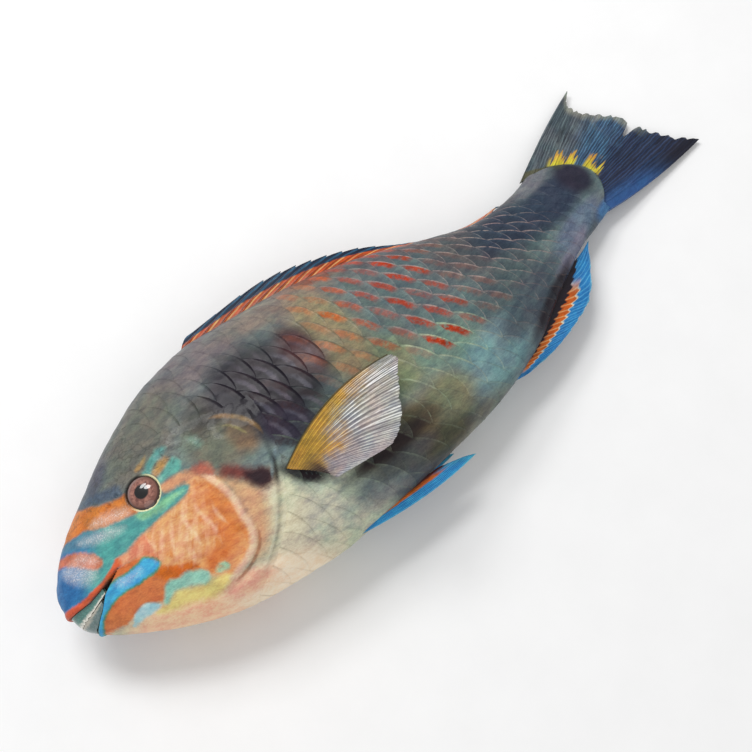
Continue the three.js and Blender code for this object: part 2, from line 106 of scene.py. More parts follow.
def smooth_step(low, high, value):
    """0 at low, 1 at high, with an even start and end."""
    t = np.clip((value - low) / (high - low), 0, 1)
    return t * t * (3 - 2 * t)


def mix(a, b, t):
    return a + (b - a) * t


def outline_at(column, x):
    """A smooth run of one column of the outline that doesn't overshoot between its rows."""
    xs, ys = OUTLINE[:, 0], OUTLINE[:, column]
    steps = np.diff(xs)
    rises = np.diff(ys) / steps
    before, after = 2 * steps[1:] + steps[:-1], steps[1:] + 2 * steps[:-1]
    turning = rises[:-1] * rises[1:] <= 0
    safe = np.where(turning, 1, rises[:-1]), np.where(turning, 1, rises[1:])
    inner = np.where(turning, 0, (before + after) / (before / safe[0] + after / safe[1]))
    slopes = np.concatenate(([rises[0]], inner, [rises[-1]]))
    i = np.clip(np.searchsorted(xs, x, side="right") - 1, 0, len(steps) - 1)
    t = np.clip((x - xs[i]) / steps[i], 0, 1)
    start = (1 + 2 * t) * (1 - t) ** 2 * ys[i] + t * (1 - t) ** 2 * steps[i] * slopes[i]
    end = t * t * (3 - 2 * t) * ys[i + 1] + t * t * (t - 1) * steps[i] * slopes[i + 1]
    return start + end


back_at = lambda x: outline_at(1, x)
belly_at = lambda x: outline_at(2, x)
half_at = lambda x: outline_at(3, x)
tall_at = lambda x: (back_at(x) - belly_at(x)) / 2
middle_at = lambda x: (back_at(x) + belly_at(x)) / 2


def skin_at(x, y):
    """Distance of the skin from the middle plane at a place in the side view."""
    return half_at(x) * np.sqrt(np.maximum(0, 1 - ((y - middle_at(x)) / tall_at(x)) ** 2))


def ring_point(x, angle):
    """A place on the body at length x, at an angle from the left flank's middle up to the back."""
    y = middle_at(x) + tall_at(x) * np.sin(angle)
    return np.stack((x + 0 * angle, y, half_at(x) * np.cos(angle)), -1)


def out_of_ring(x, angle):
    """The direction straight out of the body at such a place."""
    step = 0.05
    low = np.maximum(x - step, 0)
    along = (ring_point(x + step, angle) - ring_point(low, angle)) / (x + step - low)[..., None]
    around = ring_point(x, angle + 1e-3) - ring_point(x, angle - 1e-3)
    normal = np.cross(along, around)
    return normal / np.maximum(np.linalg.norm(normal, axis=-1, keepdims=True), 1e-12)


def turned(x, start, end, angle):
    """Slope and offset at x of an axis that turns evenly between start and end, and is straight beyond."""
    inside = np.clip(x - start, 0, end - start)
    slope = angle * inside / (end - start)
    return slope, slope * inside / 2 + math.tan(angle) * np.maximum(x - end, 0)


def laid(places):
    """Bends the straight fish along its spine and lays it on its right flank."""
    x, y, z = np.moveaxis(np.asarray(places, float), -1, 0)
    bend, sideways = turned(x, BEND_START, STALK_END, BEND)
    droop, down = turned(x, DROOP_START, DROOP_END, DROOP)
    level, up = turned(x, DROOP_END, TAIL_TIP, LEVEL_OUT)
    tilt = droop + level
    return np.stack((
        x - np.sin(bend) * y - np.sin(tilt) * z,
        np.cos(bend) * y + sideways,
        np.cos(tilt) * z + down + up + AXIS_HEIGHT,
    ), -1)


def eye_centre(side):
    aim = EYE_AIM * (1, 1, side)
    x, y = EYE_PLACE
    return np.array((x, y, side * skin_at(x, y))) - aim * EYE_SUNK


# The left eye tells where the laid fish is in the frame
eye_low, eye_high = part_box("eye_left")
ORIGIN = (np.array(eye_low) + np.array(eye_high)) / 2 - laid(eye_centre(1)) * MM
FLOOR_CLEARANCE, FLOOR_SOFTNESS = 0.00005, 0.0004


def in_frame(places):
    """Places of the straight fish, in millimetres, as places in the frame, in metres, kept over the floor."""
    found = laid(places) * MM + ORIGIN
    over = (found[..., 2] - FLOOR_CLEARANCE) / FLOOR_SOFTNESS
    lifted = np.where(over > 20, over, np.log1p(np.exp(np.minimum(over, 20))))
    found[..., 2] = np.where(over > 20, found[..., 2], FLOOR_CLEARANCE + FLOOR_SOFTNESS * lifted)
    return found


def spline(points, s, closed=False):
    """The centripetal curve through points, at shares s of its run."""
    points = np.asarray(points, float)
    if closed:
        points = np.concatenate((points[-1:], points, points[:2]))
    else:
        points = np.concatenate((2 * points[:1] - points[1:2], points, 2 * points[-1:] - points[-2:-1]))
    spans = len(points) - 3
    run = np.clip(np.asarray(s, float), 0, 1) * spans
    i = np.minimum(run.astype(int), spans - 1)
    t = (run - i)[..., None]
    gaps = np.maximum(np.sum(np.diff(points, axis=0) ** 2, axis=1) ** 0.25, 1e-4)
    p0, p1, p2, p3 = (points[i + k] for k in range(4))
    d0, d1, d2 = (gaps[i + k][..., None] for k in range(3))
    first = ((p1 - p0) / d0 - (p2 - p0) / (d0 + d1) + (p2 - p1) / d1) * d1
    second = ((p2 - p1) / d1 - (p3 - p1) / (d1 + d2) + (p3 - p2) / d2) * d1
    return (p1 + first * t + (3 * (p2 - p1) - 2 * first - second) * t ** 2
            + (2 * (p1 - p2) + first + second) * t ** 3)


def distance_to(line, x, y):
    """Distance in the side view from each place to a line through points."""
    found = np.full(np.shape(x), np.inf)
    for (ax, ay), (bx, by) in zip(line[:-1], line[1:]):
        dx, dy = bx - ax, by - ay
        t = np.clip(((x - ax) * dx + (y - ay) * dy) / max(dx * dx + dy * dy, 1e-9), 0, 1)
        found = np.minimum(found, (x - ax - t * dx) ** 2 + (y - ay - t * dy) ** 2)
    return np.sqrt(found)


def depth_in(corners, x, y, reach=14):
    """How far each place is inside a smooth closed patch in the side view; under 0 outside."""
    edge = spline(corners, np.linspace(0, 1, 4 * len(corners) + 1), closed=True)
    low, high = edge.min(0) - reach, edge.max(0) + reach
    near = (x > low[0]) & (x < high[0]) & (y > low[1]) & (y < high[1])
    found = np.full(np.shape(x), -float(reach))
    px, py = x[near], y[near]
    inside = np.zeros(px.shape, bool)
    for (ax, ay), (bx, by) in zip(edge[:-1], edge[1:]):
        crosses = (ay > py) != (by > py)
        inside ^= crosses & (px < (bx - ax) * (py - ay) / (by - ay if by != ay else 1e-9) + ax)
    gap = np.minimum(distance_to(edge, px, py), reach)
    found[near] = np.where(inside, gap, -gap)
    return found


def wave_noise(x, y, z, scale, seed):
    """Soft, smooth, repeatable unevenness between about -1 and 1."""
    draw = np.random.default_rng(seed)
    total = 0
    for _ in range(6):
        direction = draw.normal(size=3)
        direction *= 2 * math.pi / scale / np.linalg.norm(direction) * draw.uniform(0.6, 1.5)
        total = total + np.sin(x * direction[0] + y * direction[1] + z * direction[2] + draw.uniform(0, 6.28))
    return total / 3


# Colours
def paint(code):
    """A colour written as a web code, as the shader needs it."""
    parts = [int(code[i:i + 2], 16) / 255 for i in (1, 3, 5)]
    return np.array([c / 12.92 if c <= 0.04045 else ((c + 0.055) / 1.055) ** 2.4 for c in parts])


def shaded(colour, code, low, high, value):
    """A colour that turns into another while value goes from low to high."""
    return mix(colour, paint(code), smooth_step(low, high, value)[..., None])


# Washes of the body, painted in this order: colour, place, length and height, tilt in degrees
WASHES = (
    ("#f0c4a4", 45, -50, 30, 9, -18),    # throat
    ("#f4e0c8", 86, -56, 26, 9, -5),     # chest
    ("#b9bdae", 124, -44, 30, 14, 5),    # belly behind the pectoral fin
    # Painted shade: these three washes darken the belly along its lower edge, beside the pelvic fin and on
    # towards the anal fin
    ("#4c5158", 157, -50, 21, 7, 6),     # dark edge of the belly
    ("#494739", 176, -42, 20, 7, 10),
    ("#5f635e", 195, -41, 14, 6, 14),
    ("#6c686d", 100, 42, 34, 14, 12),    # nape
    ("#686862", 64, 24, 28, 17, 35),     # forehead
    ("#4e5260", 36, 20, 13, 6, 40),      # dark front of the forehead
    ("#6c6c60", 92, 5, 18, 17, 0),       # gill cover
    ("#7a6652", 101, 1, 7, 10, 0),
    ("#e8b49c", 72, -51, 12, 5, -8),
    ("#d2cfb6", 99, -34, 10, 16, -25),   # lower gill cover
    ("#7a726c", 142, 46, 34, 9, -2),     # pale upper back
    ("#7a4532", 170, 49, 22, 4, -6),     # warm line under the dorsal fin
    ("#913f2a", 196, 46, 34, 5, -17),
    ("#857a60", 156, 17, 15, 30, 10),    # olive band behind the shoulder
    ("#45433f", 91, 18, 12, 9, 0),
    ("#2d2936", 107, 20, 13, 13, 0),
    ("#150f1b", 122, 13, 28, 23, -25),   # dark shoulder
    ("#2e2738", 118, -6, 14, 10, -30),
    ("#44272b", 140, 20, 8, 16, 15),
    ("#574b50", 206, 39, 32, 8, -18),    # dark upper back
    ("#5e6c70", 192, 16, 26, 24, -10),   # grey-blue flank
    ("#7f866a", 170, -8, 14, 14, 10),    # green behind the pectoral fin
    ("#70877e", 193, -13, 18, 12, -8),
    ("#555256", 232, 16, 22, 16, -14),
    ("#303c4e", 256, 10, 24, 15, -8),    # navy flank before the tail
    ("#525e63", 232, -8, 24, 12, 8),
    ("#74949c", 208, -29, 24, 12, 12),
    ("#787963", 180, -31, 14, 10, 0),    # olive flank behind the pectoral fin
    # Painted shadow of the pectoral fin, behind its rear edge
    ("#5a523f", 163, -33, 12, 9, 0),
    ("#798184", 138, -47, 14, 6, 0),
    ("#525254", 152, -42, 16, 5, 4),
    # Painted shadow of the pectoral fin: a dark strip under its lower edge
    ("#2c2224", 150, -35.6, 24, 4.6, 8),
    ("#4c5862", 236, -21, 26, 8, 14),
    ("#303b4f", 284, 4, 24, 13, 0),      # tail stalk
    ("#6c6f78", 288, 18, 14, 4.5, 3),
    ("#66748a", 280, -13, 20, 6, 4),
    # Painted highlight: a pale lilac band along the lower edge of the tail stalk
    ("#7c7c92", 268, -19.5, 16, 3.2, 10),
    ("#4571a1", 299, -19, 9, 4, 0),
    ("#242336", 303, 3, 10, 12, 0),      # dark base of the tail fin
    ("#46463b", 306, 16, 5, 6, -20),
    # Painted shade in the crease between the body and the anal fin
    ("#1e1722", 246, -27.5, 22, 4.2, 19),  # dark fold beside the anal fin
    # The fold under the pectoral fin: the fin base's own dark colour, and painted shade beneath it
    ("#190e14", 113.4, -26.6, 11, 3.8, -42),   # dark fold under the pectoral fin
)


def ground(x, y):
    """The body's colour without its marks."""
    share = (y - middle_at(x)) / tall_at(x)
    colour = shaded(paint("#b9b8a2"), "#545e68", 150, 215, x)
    colour = shaded(colour, "#6c7f80", -0.95, -0.2, share)
    colour = shaded(colour, "#5f6468", 0.35, 0.95, share)
    for code, cx, cy, length, height, tilt in WASHES:
        turn = math.radians(tilt)
        dx, dy = x - cx, y - cy
        along = (dx * math.cos(turn) + dy * math.sin(turn)) / length
        across = (dy * math.cos(turn) - dx * math.sin(turn)) / height
        weight = smooth_step(1.25, 0.55, np.hypot(along, across))
        colour = mix(colour, paint(code), weight[..., None])
    return colour


# Marks of the head, painted in this order: name, colour, softness of the edge, corners in the side view
MARKS = (
    ("behind_crest", "#d0a07c", 5.0, (
        (83, -9), (88, -13), (93, -18), (96, -24), (94, -32), (90, -39), (84, -44), (78, -45.5), (82, -38),
        (84.4, -29), (84.4, -20),
    )),
    ("yellow", "#dcc87c", 2.2, (
        (34, -41.2), (40, -40.4), (45, -38.6), (52, -40.8), (58, -42.6), (63, -42.2), (68, -43.6),
        (65, -47), (57, -48.4), (48, -45.6), (40, -44),
    )),
    ("cheek", "#e0a06c", 1.6, (
        (31.5, -15.6), (36, -15.4), (41, -14), (46, -12.4), (52, -11.2), (58, -10.2), (64, -9.6),
        (69.5, -8.2), (71, -4.4), (75, -3), (80, -6), (83, -10), (83.6, -20), (83.6, -29), (82, -37),
        (77, -42), (70, -44.6), (62, -42), (57, -37), (50, -33), (45, -27), (44, -22.6), (41, -20),
        (34, -19),
    )),
    ("cheek_rear", "#d27a40", 6.0, (
        (72, -14), (80, -12), (82, -22), (82, -31), (77, -37), (68, -40), (60, -38), (63, -32), (70, -27),
    )),
    ("chin", "#d0703c", 0.8, (
        (9, -35.6), (13.5, -32.2), (18, -29.4), (24, -27.8), (29, -27.6), (34, -28), (40, -27.6),
        (45, -26.8), (49, -29.6), (53, -31.6), (56.5, -32.6), (58, -36.4), (54, -35.8), (49, -35),
        (44, -34.4), (41, -36.8), (39, -39.2), (36, -38), (32, -36), (28, -36.6), (23, -38.2), (16, -37.4),
        (10, -36.4),
    )),
    ("chin_rear", "#cb6312", 1.6, (
        (42, -28), (47, -28.6), (52, -31.2), (57, -32.4), (58, -36.6), (52, -35.4), (45, -34), (43, -31.5),
    )),
    ("lores", "#4f9d9c", 0.7, (
        (-6, 4), (9, 4), (15, 4.2), (20, 3.8), (25, 3.2), (28, 1.4), (33, -0.6), (38, -1.8), (44, -3.2),
        (50, -4.4), (56, -4.9), (61, -3.8), (66, -4.2), (70, -4.8), (71.5, -6.2), (69.5, -8), (64, -9.4),
        (58, -10), (52, -11), (46, -12.2), (41, -13.8), (36, -15.2), (31.5, -15.2), (28, -16.8),
        (24, -18.8), (18, -20), (10, -21), (3, -20.4), (-6, -20),
    )),
    ("under_eye", "#8cc79c", 1.8, (
        (47, -4.6), (53, -5.4), (60, -5), (65, -5.4), (68, -6.6), (62, -8), (54, -8.4), (48, -7),
    )),
    ("snout", "#2a68a6", 7.0, (
        (-8, 6), (10, 5), (18, 3), (24, -2), (23, -8), (17, -14), (13, -22), (-8, -22),
    )),
    ("snout_top", "#4a7894", 3.0, ((12, 5), (22, 4), (30, 0), (32, -4), (24, -4), (16, -1))),
    ("orange_band", "#c9742c", 0.9, (
        (8, 6), (15, 4.6), (20, 4), (25, 3.4), (28, 1.6), (33, -0.4), (38, -1.6), (44, -2.8), (49, -3.4),
        (48.5, 5), (42, 6.6), (37, 8.2), (31.5, 11.2), (27, 13), (22, 18), (8, 14),
    )),
    ("short_band", "#c46a48", 0.9, (
        (-6, 2), (2, 0.5), (8, 0.6), (13, -0.6), (17, -2), (21, -4.8), (24.5, -8.2), (26.2, -11.6),
        (25, -13.8), (22, -13.9), (18.5, -11), (14, -7), (9.5, -3.8), (4, -2.6), (-6, -3),
    )),
    ("slate_band", "#4a5a6e", 2.0, (
        (24, 19), (29.5, 16), (34, 15.4), (40, 13.4), (46.4, 11), (46, 6.6), (42, 7.6), (37, 9), (32, 11.8),
        (25, 15),
    )),
    ("corner_orange", "#cf6a32", 0.5, (
        (24, -19.2), (31, -18.6), (35, -18.8), (40, -19), (41, -20.4), (38, -21.6), (33, -22.2),
        (28, -21.6), (24, -21.6),
    )),
    ("corner_pink", "#d98468", 1.6, (
        (31.5, -15.4), (37, -15), (42, -13.4), (46, -13), (46.4, -18), (45.4, -24), (41.6, -20.4),
        (36, -19), (32, -18),
    )),
    ("lip_strip", "#cd5830", 0.4, (
        (-6, -20.2), (3, -20.4), (10, -21), (18, -20), (24, -18.8), (28, -16.8), (31.5, -15), (33, -17.5),
        (31, -18.4), (26, -19.2), (22, -21), (16, -22.8), (10, -23.8), (3, -24.2), (-6, -24.4),
    )),
    ("lower_lip", "#43a9dc", 0.5, (
        (8.5, -35.2), (12, -31.5), (16, -28.2), (19, -25.2), (22.5, -22.8), (27, -22.2), (33, -22.4),
        (38, -21.6), (41, -21), (44, -23), (45.4, -25.6), (43.6, -27.2), (39, -27.6), (34, -28),
        (29, -27.6), (24, -27.8), (18, -29.4), (13.5, -32), (10, -35.4),
    )),
    ("chin_pale", "#a6ced8", 0.5, (
        (22.5, -40.2), (25, -37.9), (28, -36.4), (32, -36), (35.6, -37.8), (37.6, -39.7), (33, -40.5),
        (28, -40.5),
    )),
    ("wave", "#8fc4b6", 1.1, (
        (38.5, -40), (41, -37.4), (43, -34.6), (46, -34), (49, -35.2), (53, -34.6), (57, -36.6),
        (60, -38.4), (60.3, -40.6), (57, -42.2), (53, -40.6), (49, -39.1), (45, -38.3), (42, -39.6),
        (39.5, -40.8),
    )),
    ("wave_end", "#9ac6a8", 0.7, ((62.6, -40.4), (65.6, -39), (68.8, -40.4), (68.6, -42.2), (65, -42.4))),
    ("behind_eye", "#d29470", 1.4, (
        (60.5, 0.5), (66, 1), (71, 0.6), (75, -1), (78, -4), (74, -5), (70, -4.2), (66, -3.6), (62, -3.2),
    )),
    ("cheek_maroon", "#a35c4c", 2.2, (
        (75, -1.2), (79, -0.4), (82, -2.2), (83.4, -6), (82, -8.4), (79, -6.6), (76.4, -4.2),
    )),
    ("gill_band", "#6e322e", 3.0, (
        (83.6, -9.6), (86, -7), (89.5, -7.4), (93, -11), (97, -14.4), (102, -17.6), (103, -20.6),
        (100, -23.4), (96, -22.4), (92.6, -18), (88, -13.4),
    )),
    ("gill_dark", "#231720", 3.0, (
        (93, -14), (97, -14.6), (103, -18), (103, -21), (100, -23.6), (96, -22.6), (93, -19),
    )),
    ("eye_bar_high", "#5a9a96", 1.6, (
        (57.5, 8.6), (60, 11), (64, 13.6), (69, 15), (70.6, 13.4), (67, 11.2), (62.5, 9.2), (60.2, 6.6),
    )),
    ("eye_bar_orange", "#b4864e", 1.4, (
        (61, 6.6), (64, 9.2), (68, 9.8), (70.4, 8.4), (66, 6.2), (62.4, 4.4),
    )),
    ("eye_bar_low", "#62aaa0", 1.2, (
        (61.4, 3), (66, 5.2), (71.4, 8.2), (73, 4.6), (72, 2), (66, 1.6), (61.8, 1),
    )),
    ("brow_olive", "#a08154", 0.9, ((55, 12), (58, 13.6), (61.6, 15.4), (60, 13), (57, 11))),
    ("cover_teal", "#6b8c7e", 3.0, ((81, 11.5), (83.5, 9.5), (84.2, 6), (82.4, 5), (81, 8))),
)

# Lines of the head: name, colour, half width, points
LINES = (
    # The preopercle's crest: a pale ridge, partly its own colour and partly painted highlight, with a painted
    # shadow behind it
    ("crest_line", "#eac6ac", 2.5, CREST),
    ("crest_shade", "#a5694c", 1.1, (
        (85, -30), (86.2, -35), (84, -40.4), (79, -44.4), (71.5, -47.4), (62, -48.8),
    )),
    ("crest_gold", "#d48c22", 2.2, ((80.6, -26), (80, -31), (77.6, -35.6))),
    ("cover_line", "#dcd6c2", 1.0, ((98.6, -26), (97.4, -32), (92, -39.8), (85, -46), (78, -50.4))),
    ("cover_rim", "#8a6a42", 1.6, ((88, 15), (96, 12.5), (103, 7), (107.2, 0), (108, -8))),
    ("cover_rim_inner", "#8f8258", 1.2, ((90, 9), (97, 7), (101.5, 1), (103.4, -6))),
    ("collar_line", "#8298a0", 1.5, ((113, -8), (107.5, -13.5), (103, -19.5), (99.5, -26))),
    ("mouth_line", "#2a120e", 0.35, (
        (9, -24), (13, -23.4), (22, -21.2), (27, -19.4), (31, -18.3), (33, -18.6),
    )),
)

# Places of the head where white specks of painted highlight lie, as of light on the wet skin
GLINTS = (
    ((28, 3), (33, 4.4), (38, 3), (45, 0.6), (46, -2), (39, -1.6), (33, 0.2)),
    ((15, -4.5), (19, -4.6), (23, -8), (24.5, -11), (21, -11.5), (17, -8)),
    ((8, -6), (14, -5), (20, -11), (22, -15), (17, -17), (11, -13)),
    ((20, 0.5), (27, -0.5), (36, -3), (40, -6), (33, -6), (26, -4)),
    ((26.6, -23.2), (30, -22.8), (33, -23.8), (37.6, -23.2), (37, -24.8), (33, -25), (29, -25.6)),
)


def offset_line(line, away):
    """A smooth line beside another, on the side to the right of its way when that is down."""
    line = np.asarray(line, float)
    way = np.gradient(line, axis=0)
    way /= np.linalg.norm(way, axis=1, keepdims=True)
    return line + away * np.column_stack((-way[:, 1], way[:, 0]))


def behind_gill(x, y):
    """Distance behind the gill opening's line, in the side view."""
    return x - np.interp(y, *np.array(GILL[::-1]).T[::-1])


def relief(x, y, z):
    """How far the skin stands out of the body's smooth form, from the features of the head and gills."""
    upper = np.interp(x, *np.array(UPPER_LIP).T)
    lower = np.interp(x, *np.array(LOWER_LIP).T)
    at_mouth = smooth_step(MOUTH_CORNER + 3, MOUTH_CORNER - 2, x)
    over, under = (y - upper) / LIP_WIDTH, (lower - y) / LIP_WIDTH
    fold = lambda share: np.sin(math.pi * np.clip(share, 0, 1) ** 0.6)
    out = LIP_RISE * at_mouth * (fold(over) + fold(under) * smooth_step(5, 9, x))
    gape = np.minimum(upper - y, y - lower)
    out -= MOUTH_DEPTH * at_mouth * smooth_step(-0.2, 0.7, gape)

    from_eye = np.hypot(x - EYE_PLACE[0], (y - EYE_PLACE[1]))
    out += 0.6 * np.exp(-((from_eye - 8.2) / 1.3) ** 2)
    out -= 6.5 * smooth_step(7.0, 6.0, from_eye)
    for nx, ny in NOSTRILS:
        from_nostril = np.hypot(x - nx, y - ny)
        out += 0.3 * np.exp(-((from_nostril - 1.4) / 0.5) ** 2) - 1.0 * smooth_step(1.1, 0.5, from_nostril)

    crest = spline(CREST, np.linspace(0, 1, 60))
    ends = smooth_step(-3, -13, y)
    out += 0.75 * ends * np.exp(-(distance_to(crest, x, y) / 2.1) ** 2)
    out -= 0.5 * ends * np.exp(-(distance_to(offset_line(crest, 3.3), x, y) / 1.3) ** 2)

    past = behind_gill(x, y)
    slit = smooth_step(COVER_TOP + 7, COVER_TOP - 10, y) * smooth_step(COVER_BOTTOM - 3, COVER_BOTTOM + 4, y)
    deep = mix(0.35, 1, smooth_step(2, -10, y))
    cover = 0.75 * smooth_step(-16, -1, past) * smooth_step(1.2, -0.3, past)
    groove = 0.2 * np.exp(-((past - 1.6) / 1.2) ** 2) + 0.25 * np.exp(-((past - 4) / 2.5) ** 2)
    out += slit * (cover - deep * groove)

    fin_root = np.exp(-((x - 109.5) / 4) ** 2 - ((y + 22) / 5.5) ** 2)
    fold_under = np.exp(-(distance_to(PECTORAL_FOLD, x, y) / 1.6) ** 2)
    anal_fold = np.exp(-(distance_to(ANAL_FOLD, x, y) / 1.8) ** 2)
    out += 1.0 * fin_root - 0.6 * fold_under - 0.9 * anal_fold
    return out + 0.12 * wave_noise(x, y, z, 22, 3) + 0.07 * wave_noise(x, y, z, 7, 11)


def scaled_share(x, y):
    """How far a place is inside the part of the skin that big scales cover, from 0 to 1."""
    nape_corners = ((58, 22), (60, 60), (112, 80), (112, 12), (98, 13), (84, 15), (72, 18))
    nape = smooth_step(-2, 6, depth_in(nape_corners, x, y))
    return np.maximum(nape, smooth_step(1, 6, behind_gill(x, y)))


# Meshes
def unfolded(columns, rows):
    """Corners of a grid's four-sided faces, as indices of its columns by rows of points."""
    i = np.arange(columns - 1)[:, None]
    j = np.arange(rows - 1)[None, :]
    a, b = i * rows + j, (i + 1) * rows + j
    return np.stack((a, b, b + 1, a + 1), -1).reshape(-1, 4)


def added(name, data):
    thing = bpy.data.objects.new(name, data)
    bpy.context.scene.collection.objects.link(thing)
    return thing


def make_piece(name, places, faces, finish, slot, uv, **values):
    """A mesh object in the frame, with numbers, vectors or colours at its points for its finish."""
    mesh = bpy.data.meshes.new(name)
    faces = [np.asarray(group, int) for group in faces if len(group)]
    corners = np.concatenate([group.ravel() for group in faces])
    sizes = np.concatenate([np.full(len(group), group.shape[1]) for group in faces])
    mesh.vertices.add(len(places))
    mesh.vertices.foreach_set("co", np.asarray(places, np.float32).ravel())
    mesh.loops.add(len(corners))
    mesh.loops.foreach_set("vertex_index", corners.astype(np.int32))
    mesh.polygons.add(len(sizes))
    mesh.polygons.foreach_set("loop_start", np.concatenate(([0], np.cumsum(sizes)[:-1])).astype(np.int32))
    mesh.update(calc_edges=True)
    mesh.shade_smooth()
    for key, value in values.items():
        value = np.asarray(value, np.float32)
        kind, field = {1: ("FLOAT", "value"), 3: ("FLOAT_VECTOR", "vector")}[1 if value.ndim == 1 else 3]
        mesh.attributes.new(key, kind, "POINT").data.foreach_set(field, value.ravel())
    if len(uv) == len(places):
        uv = np.asarray(uv)[corners]
    mesh.uv_layers.new(name="OFBake").data.foreach_set("uv", np.asarray(uv, np.float32).ravel())
    mesh.validate()
    mesh.materials.append(finish)
    piece = added(name, mesh)
    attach(piece, "root")
    return piece


def slab(front, back, columns, rows):
    """A closed sheet between two grids of points: its points and its faces."""
    faces = unfolded(columns, rows)
    count = columns * rows
    other = faces[:, ::-1] + count
    edge = np.concatenate((
        np.arange(rows - 1), np.arange(columns - 1) * rows + rows - 1,
        (columns - 1) * rows + np.arange(rows - 1, 0, -1), np.arange(columns - 1, 0, -1) * rows,
    ))
    following = np.roll(edge, -1)
    rim = np.stack((following, edge, edge + count, following + count), -1)
    return np.concatenate((front.reshape(-1, 3), back.reshape(-1, 3))), np.concatenate((faces, other, rim))


def twice(grid):
    """A grid's values for the front points of a slab and again for its back points."""
    return np.tile(grid.ravel(), 2)


# Shader maths
FULL_TURN = 6.283


class Value:
    """A number, colour or vector in a material, for use in Python expressions."""

    def __init__(self, finish, socket):
        self.finish = finish
        self.socket = socket

    def _maths(self, operation, *parts):
        return self.finish.node("ShaderNodeMath", {"operation": operation}, dict(enumerate(parts)))

    def __add__(self, other):
        return self._maths("ADD", self, other)

    __radd__ = __add__

    def __sub__(self, other):
        return self._maths("SUBTRACT", self, other)

    def __rsub__(self, other):
        return self._maths("SUBTRACT", other, self)

    def __mul__(self, other):
        return self._maths("MULTIPLY", self, other)

    __rmul__ = __mul__

    def __truediv__(self, other):
        return self._maths("DIVIDE", self, other)

    def __rtruediv__(self, other):
        return self._maths("DIVIDE", other, self)

    def __pow__(self, power):
        return self._maths("POWER", self, power)

    def clipped(self):
        return self.finish.node("ShaderNodeClamp", {}, {"Value": self})

    def wave(self):
        return self._maths("SINE", self)

    def size(self):
        return self._maths("ABSOLUTE", self)

    def part(self, index):
        return self.finish.node("ShaderNodeSeparateXYZ", {}, {0: self}, index)

    def scaled(self, factors):
        return self.finish.node("ShaderNodeVectorMath", {"operation": "MULTIPLY"}, {0: self, 1: factors})


class Finish:
    """A material of shader nodes."""

    def __init__(self, name, **constants):
        self.material = bpy.data.materials.new(name)
        self.material.use_nodes = True
        self.tree = self.material.node_tree
        self.tree.nodes.clear()
        self.shader = self.tree.nodes.new("ShaderNodeBsdfPrincipled")
        output = self.tree.nodes.new("ShaderNodeOutputMaterial")
        self.tree.links.new(self.shader.outputs[0], output.inputs["Surface"])
        self.set(self.shader, constants)

    def set(self, node, inputs):
        for key, value in inputs.items():
            socket = node.inputs[key.replace("_", " ") if isinstance(key, str) else key]
            if isinstance(value, Value):
                self.tree.links.new(value.socket, socket)
            elif np.ndim(value) and len(value) == 3 and len(getattr(socket, "default_value", ())) == 4:
                socket.default_value = (*value, 1)
            else:
                socket.default_value = value

    def node(self, kind, settings, inputs, output=0):
        """Any node: its settings first, then the values and links of its sockets."""
        made = self.tree.nodes.new(kind)
        for key, value in settings.items():
            setattr(made, key, value)
        self.set(made, inputs)
        return Value(self, made.outputs[output])

    def blend(self, factor, first, second, way="MIX"):
        """Two colours, or their web codes, mixed by a factor."""
        first, second = (paint(colour) if isinstance(colour, str) else colour for colour in (first, second))
        settings = {"data_type": "RGBA", "blend_type": way}
        return self.node("ShaderNodeMix", settings, {0: factor, 6: first, 7: second}, 2)

    def number(self, name):
        return self.node("ShaderNodeAttribute", {"attribute_name": name}, {}, 2)

    def vector(self, name):
        return self.node("ShaderNodeAttribute", {"attribute_name": name}, {}, 1)

    def step(self, low, high, value):
        """0 at low and 1 at high, with an even start and end."""
        settings = {"interpolation_type": "SMOOTHSTEP"}
        return self.node("ShaderNodeMapRange", settings, {"Value": value, "From Min": low, "From Max": high})

    def noise(self, places, scale, detail=3.0, roughness=0.55):
        inputs = {"Vector": places, "Scale": scale, "Detail": detail, "Roughness": roughness}
        return self.node("ShaderNodeTexNoise", {}, inputs)

    def wander(self, places, scale, reach, detail=3.0):
        """Noise that runs about evenly over and under 0."""
        return (self.noise(places, scale, detail) - 0.5) * reach

    def streaks(self, s, v, detail=3.0):
        """Noise drawn out along the rays of a fin."""
        return self.noise(self.node("ShaderNodeCombineXYZ", {}, {0: s, 1: v}), 1.0, detail)

    def cells(self, places, scale, feature="F1", output=0):
        inputs = {"Vector": places, "Scale": scale}
        return self.node("ShaderNodeTexVoronoi", {"feature": feature}, inputs, output)

    def bump(self, height, strength, distance, normal=None):
        inputs = {"Height": height, "Strength": strength, "Distance": distance}
        if normal is not None:
            inputs["Normal"] = normal
        return self.node("ShaderNodeBump", {}, inputs)

    def done(self, **sockets):
        self.set(self.shader, sockets)
        return self.material


def painted(f, colour, edge_noise):
    """The marks of the head over a colour, each with a slightly uneven edge."""
    for name, code, softness, _ in MARKS:
        depth = f.number("m_" + name) + edge_noise * min(1.0, 0.5 + softness * 0.4)
        width = softness * 0.7 + 0.35
        if name == "lower_lip":
            colour = f.blend(f.step(-1.3, -0.2, depth), colour, "#4f8a66")
        colour = f.blend(f.step(-width, width, depth) * 0.95, colour, code)
    return colour


def mottled(f, colour, fish):
    """Cold and warm, dark and light streaks and grain over a colour, as on wet skin."""
    along = fish.scaled((0.45, 1.0, 0.7))
    broad, middling = f.noise(fish, 0.09, 3.0), f.noise(along, 0.36, 4.0, 0.6)
    fine = f.noise(along, 1.9, 4.0, 0.6)
    tints = f.blend(f.step(0.35, 0.65, broad), "#a8bdb8", "#c9bab8")
    colour = f.blend(0.45, colour, tints, "OVERLAY")
    patches = f.blend(f.step(0.3, 0.7, middling), "#90909a", "#dcd9cc")
    colour = f.blend(0.5, colour, patches, "OVERLAY")
    grain = f.blend(f.step(0.3, 0.7, fine), "#9c9c9e", "#d6d6d2")
    return f.blend(0.42, colour, grain, "OVERLAY"), middling, fine


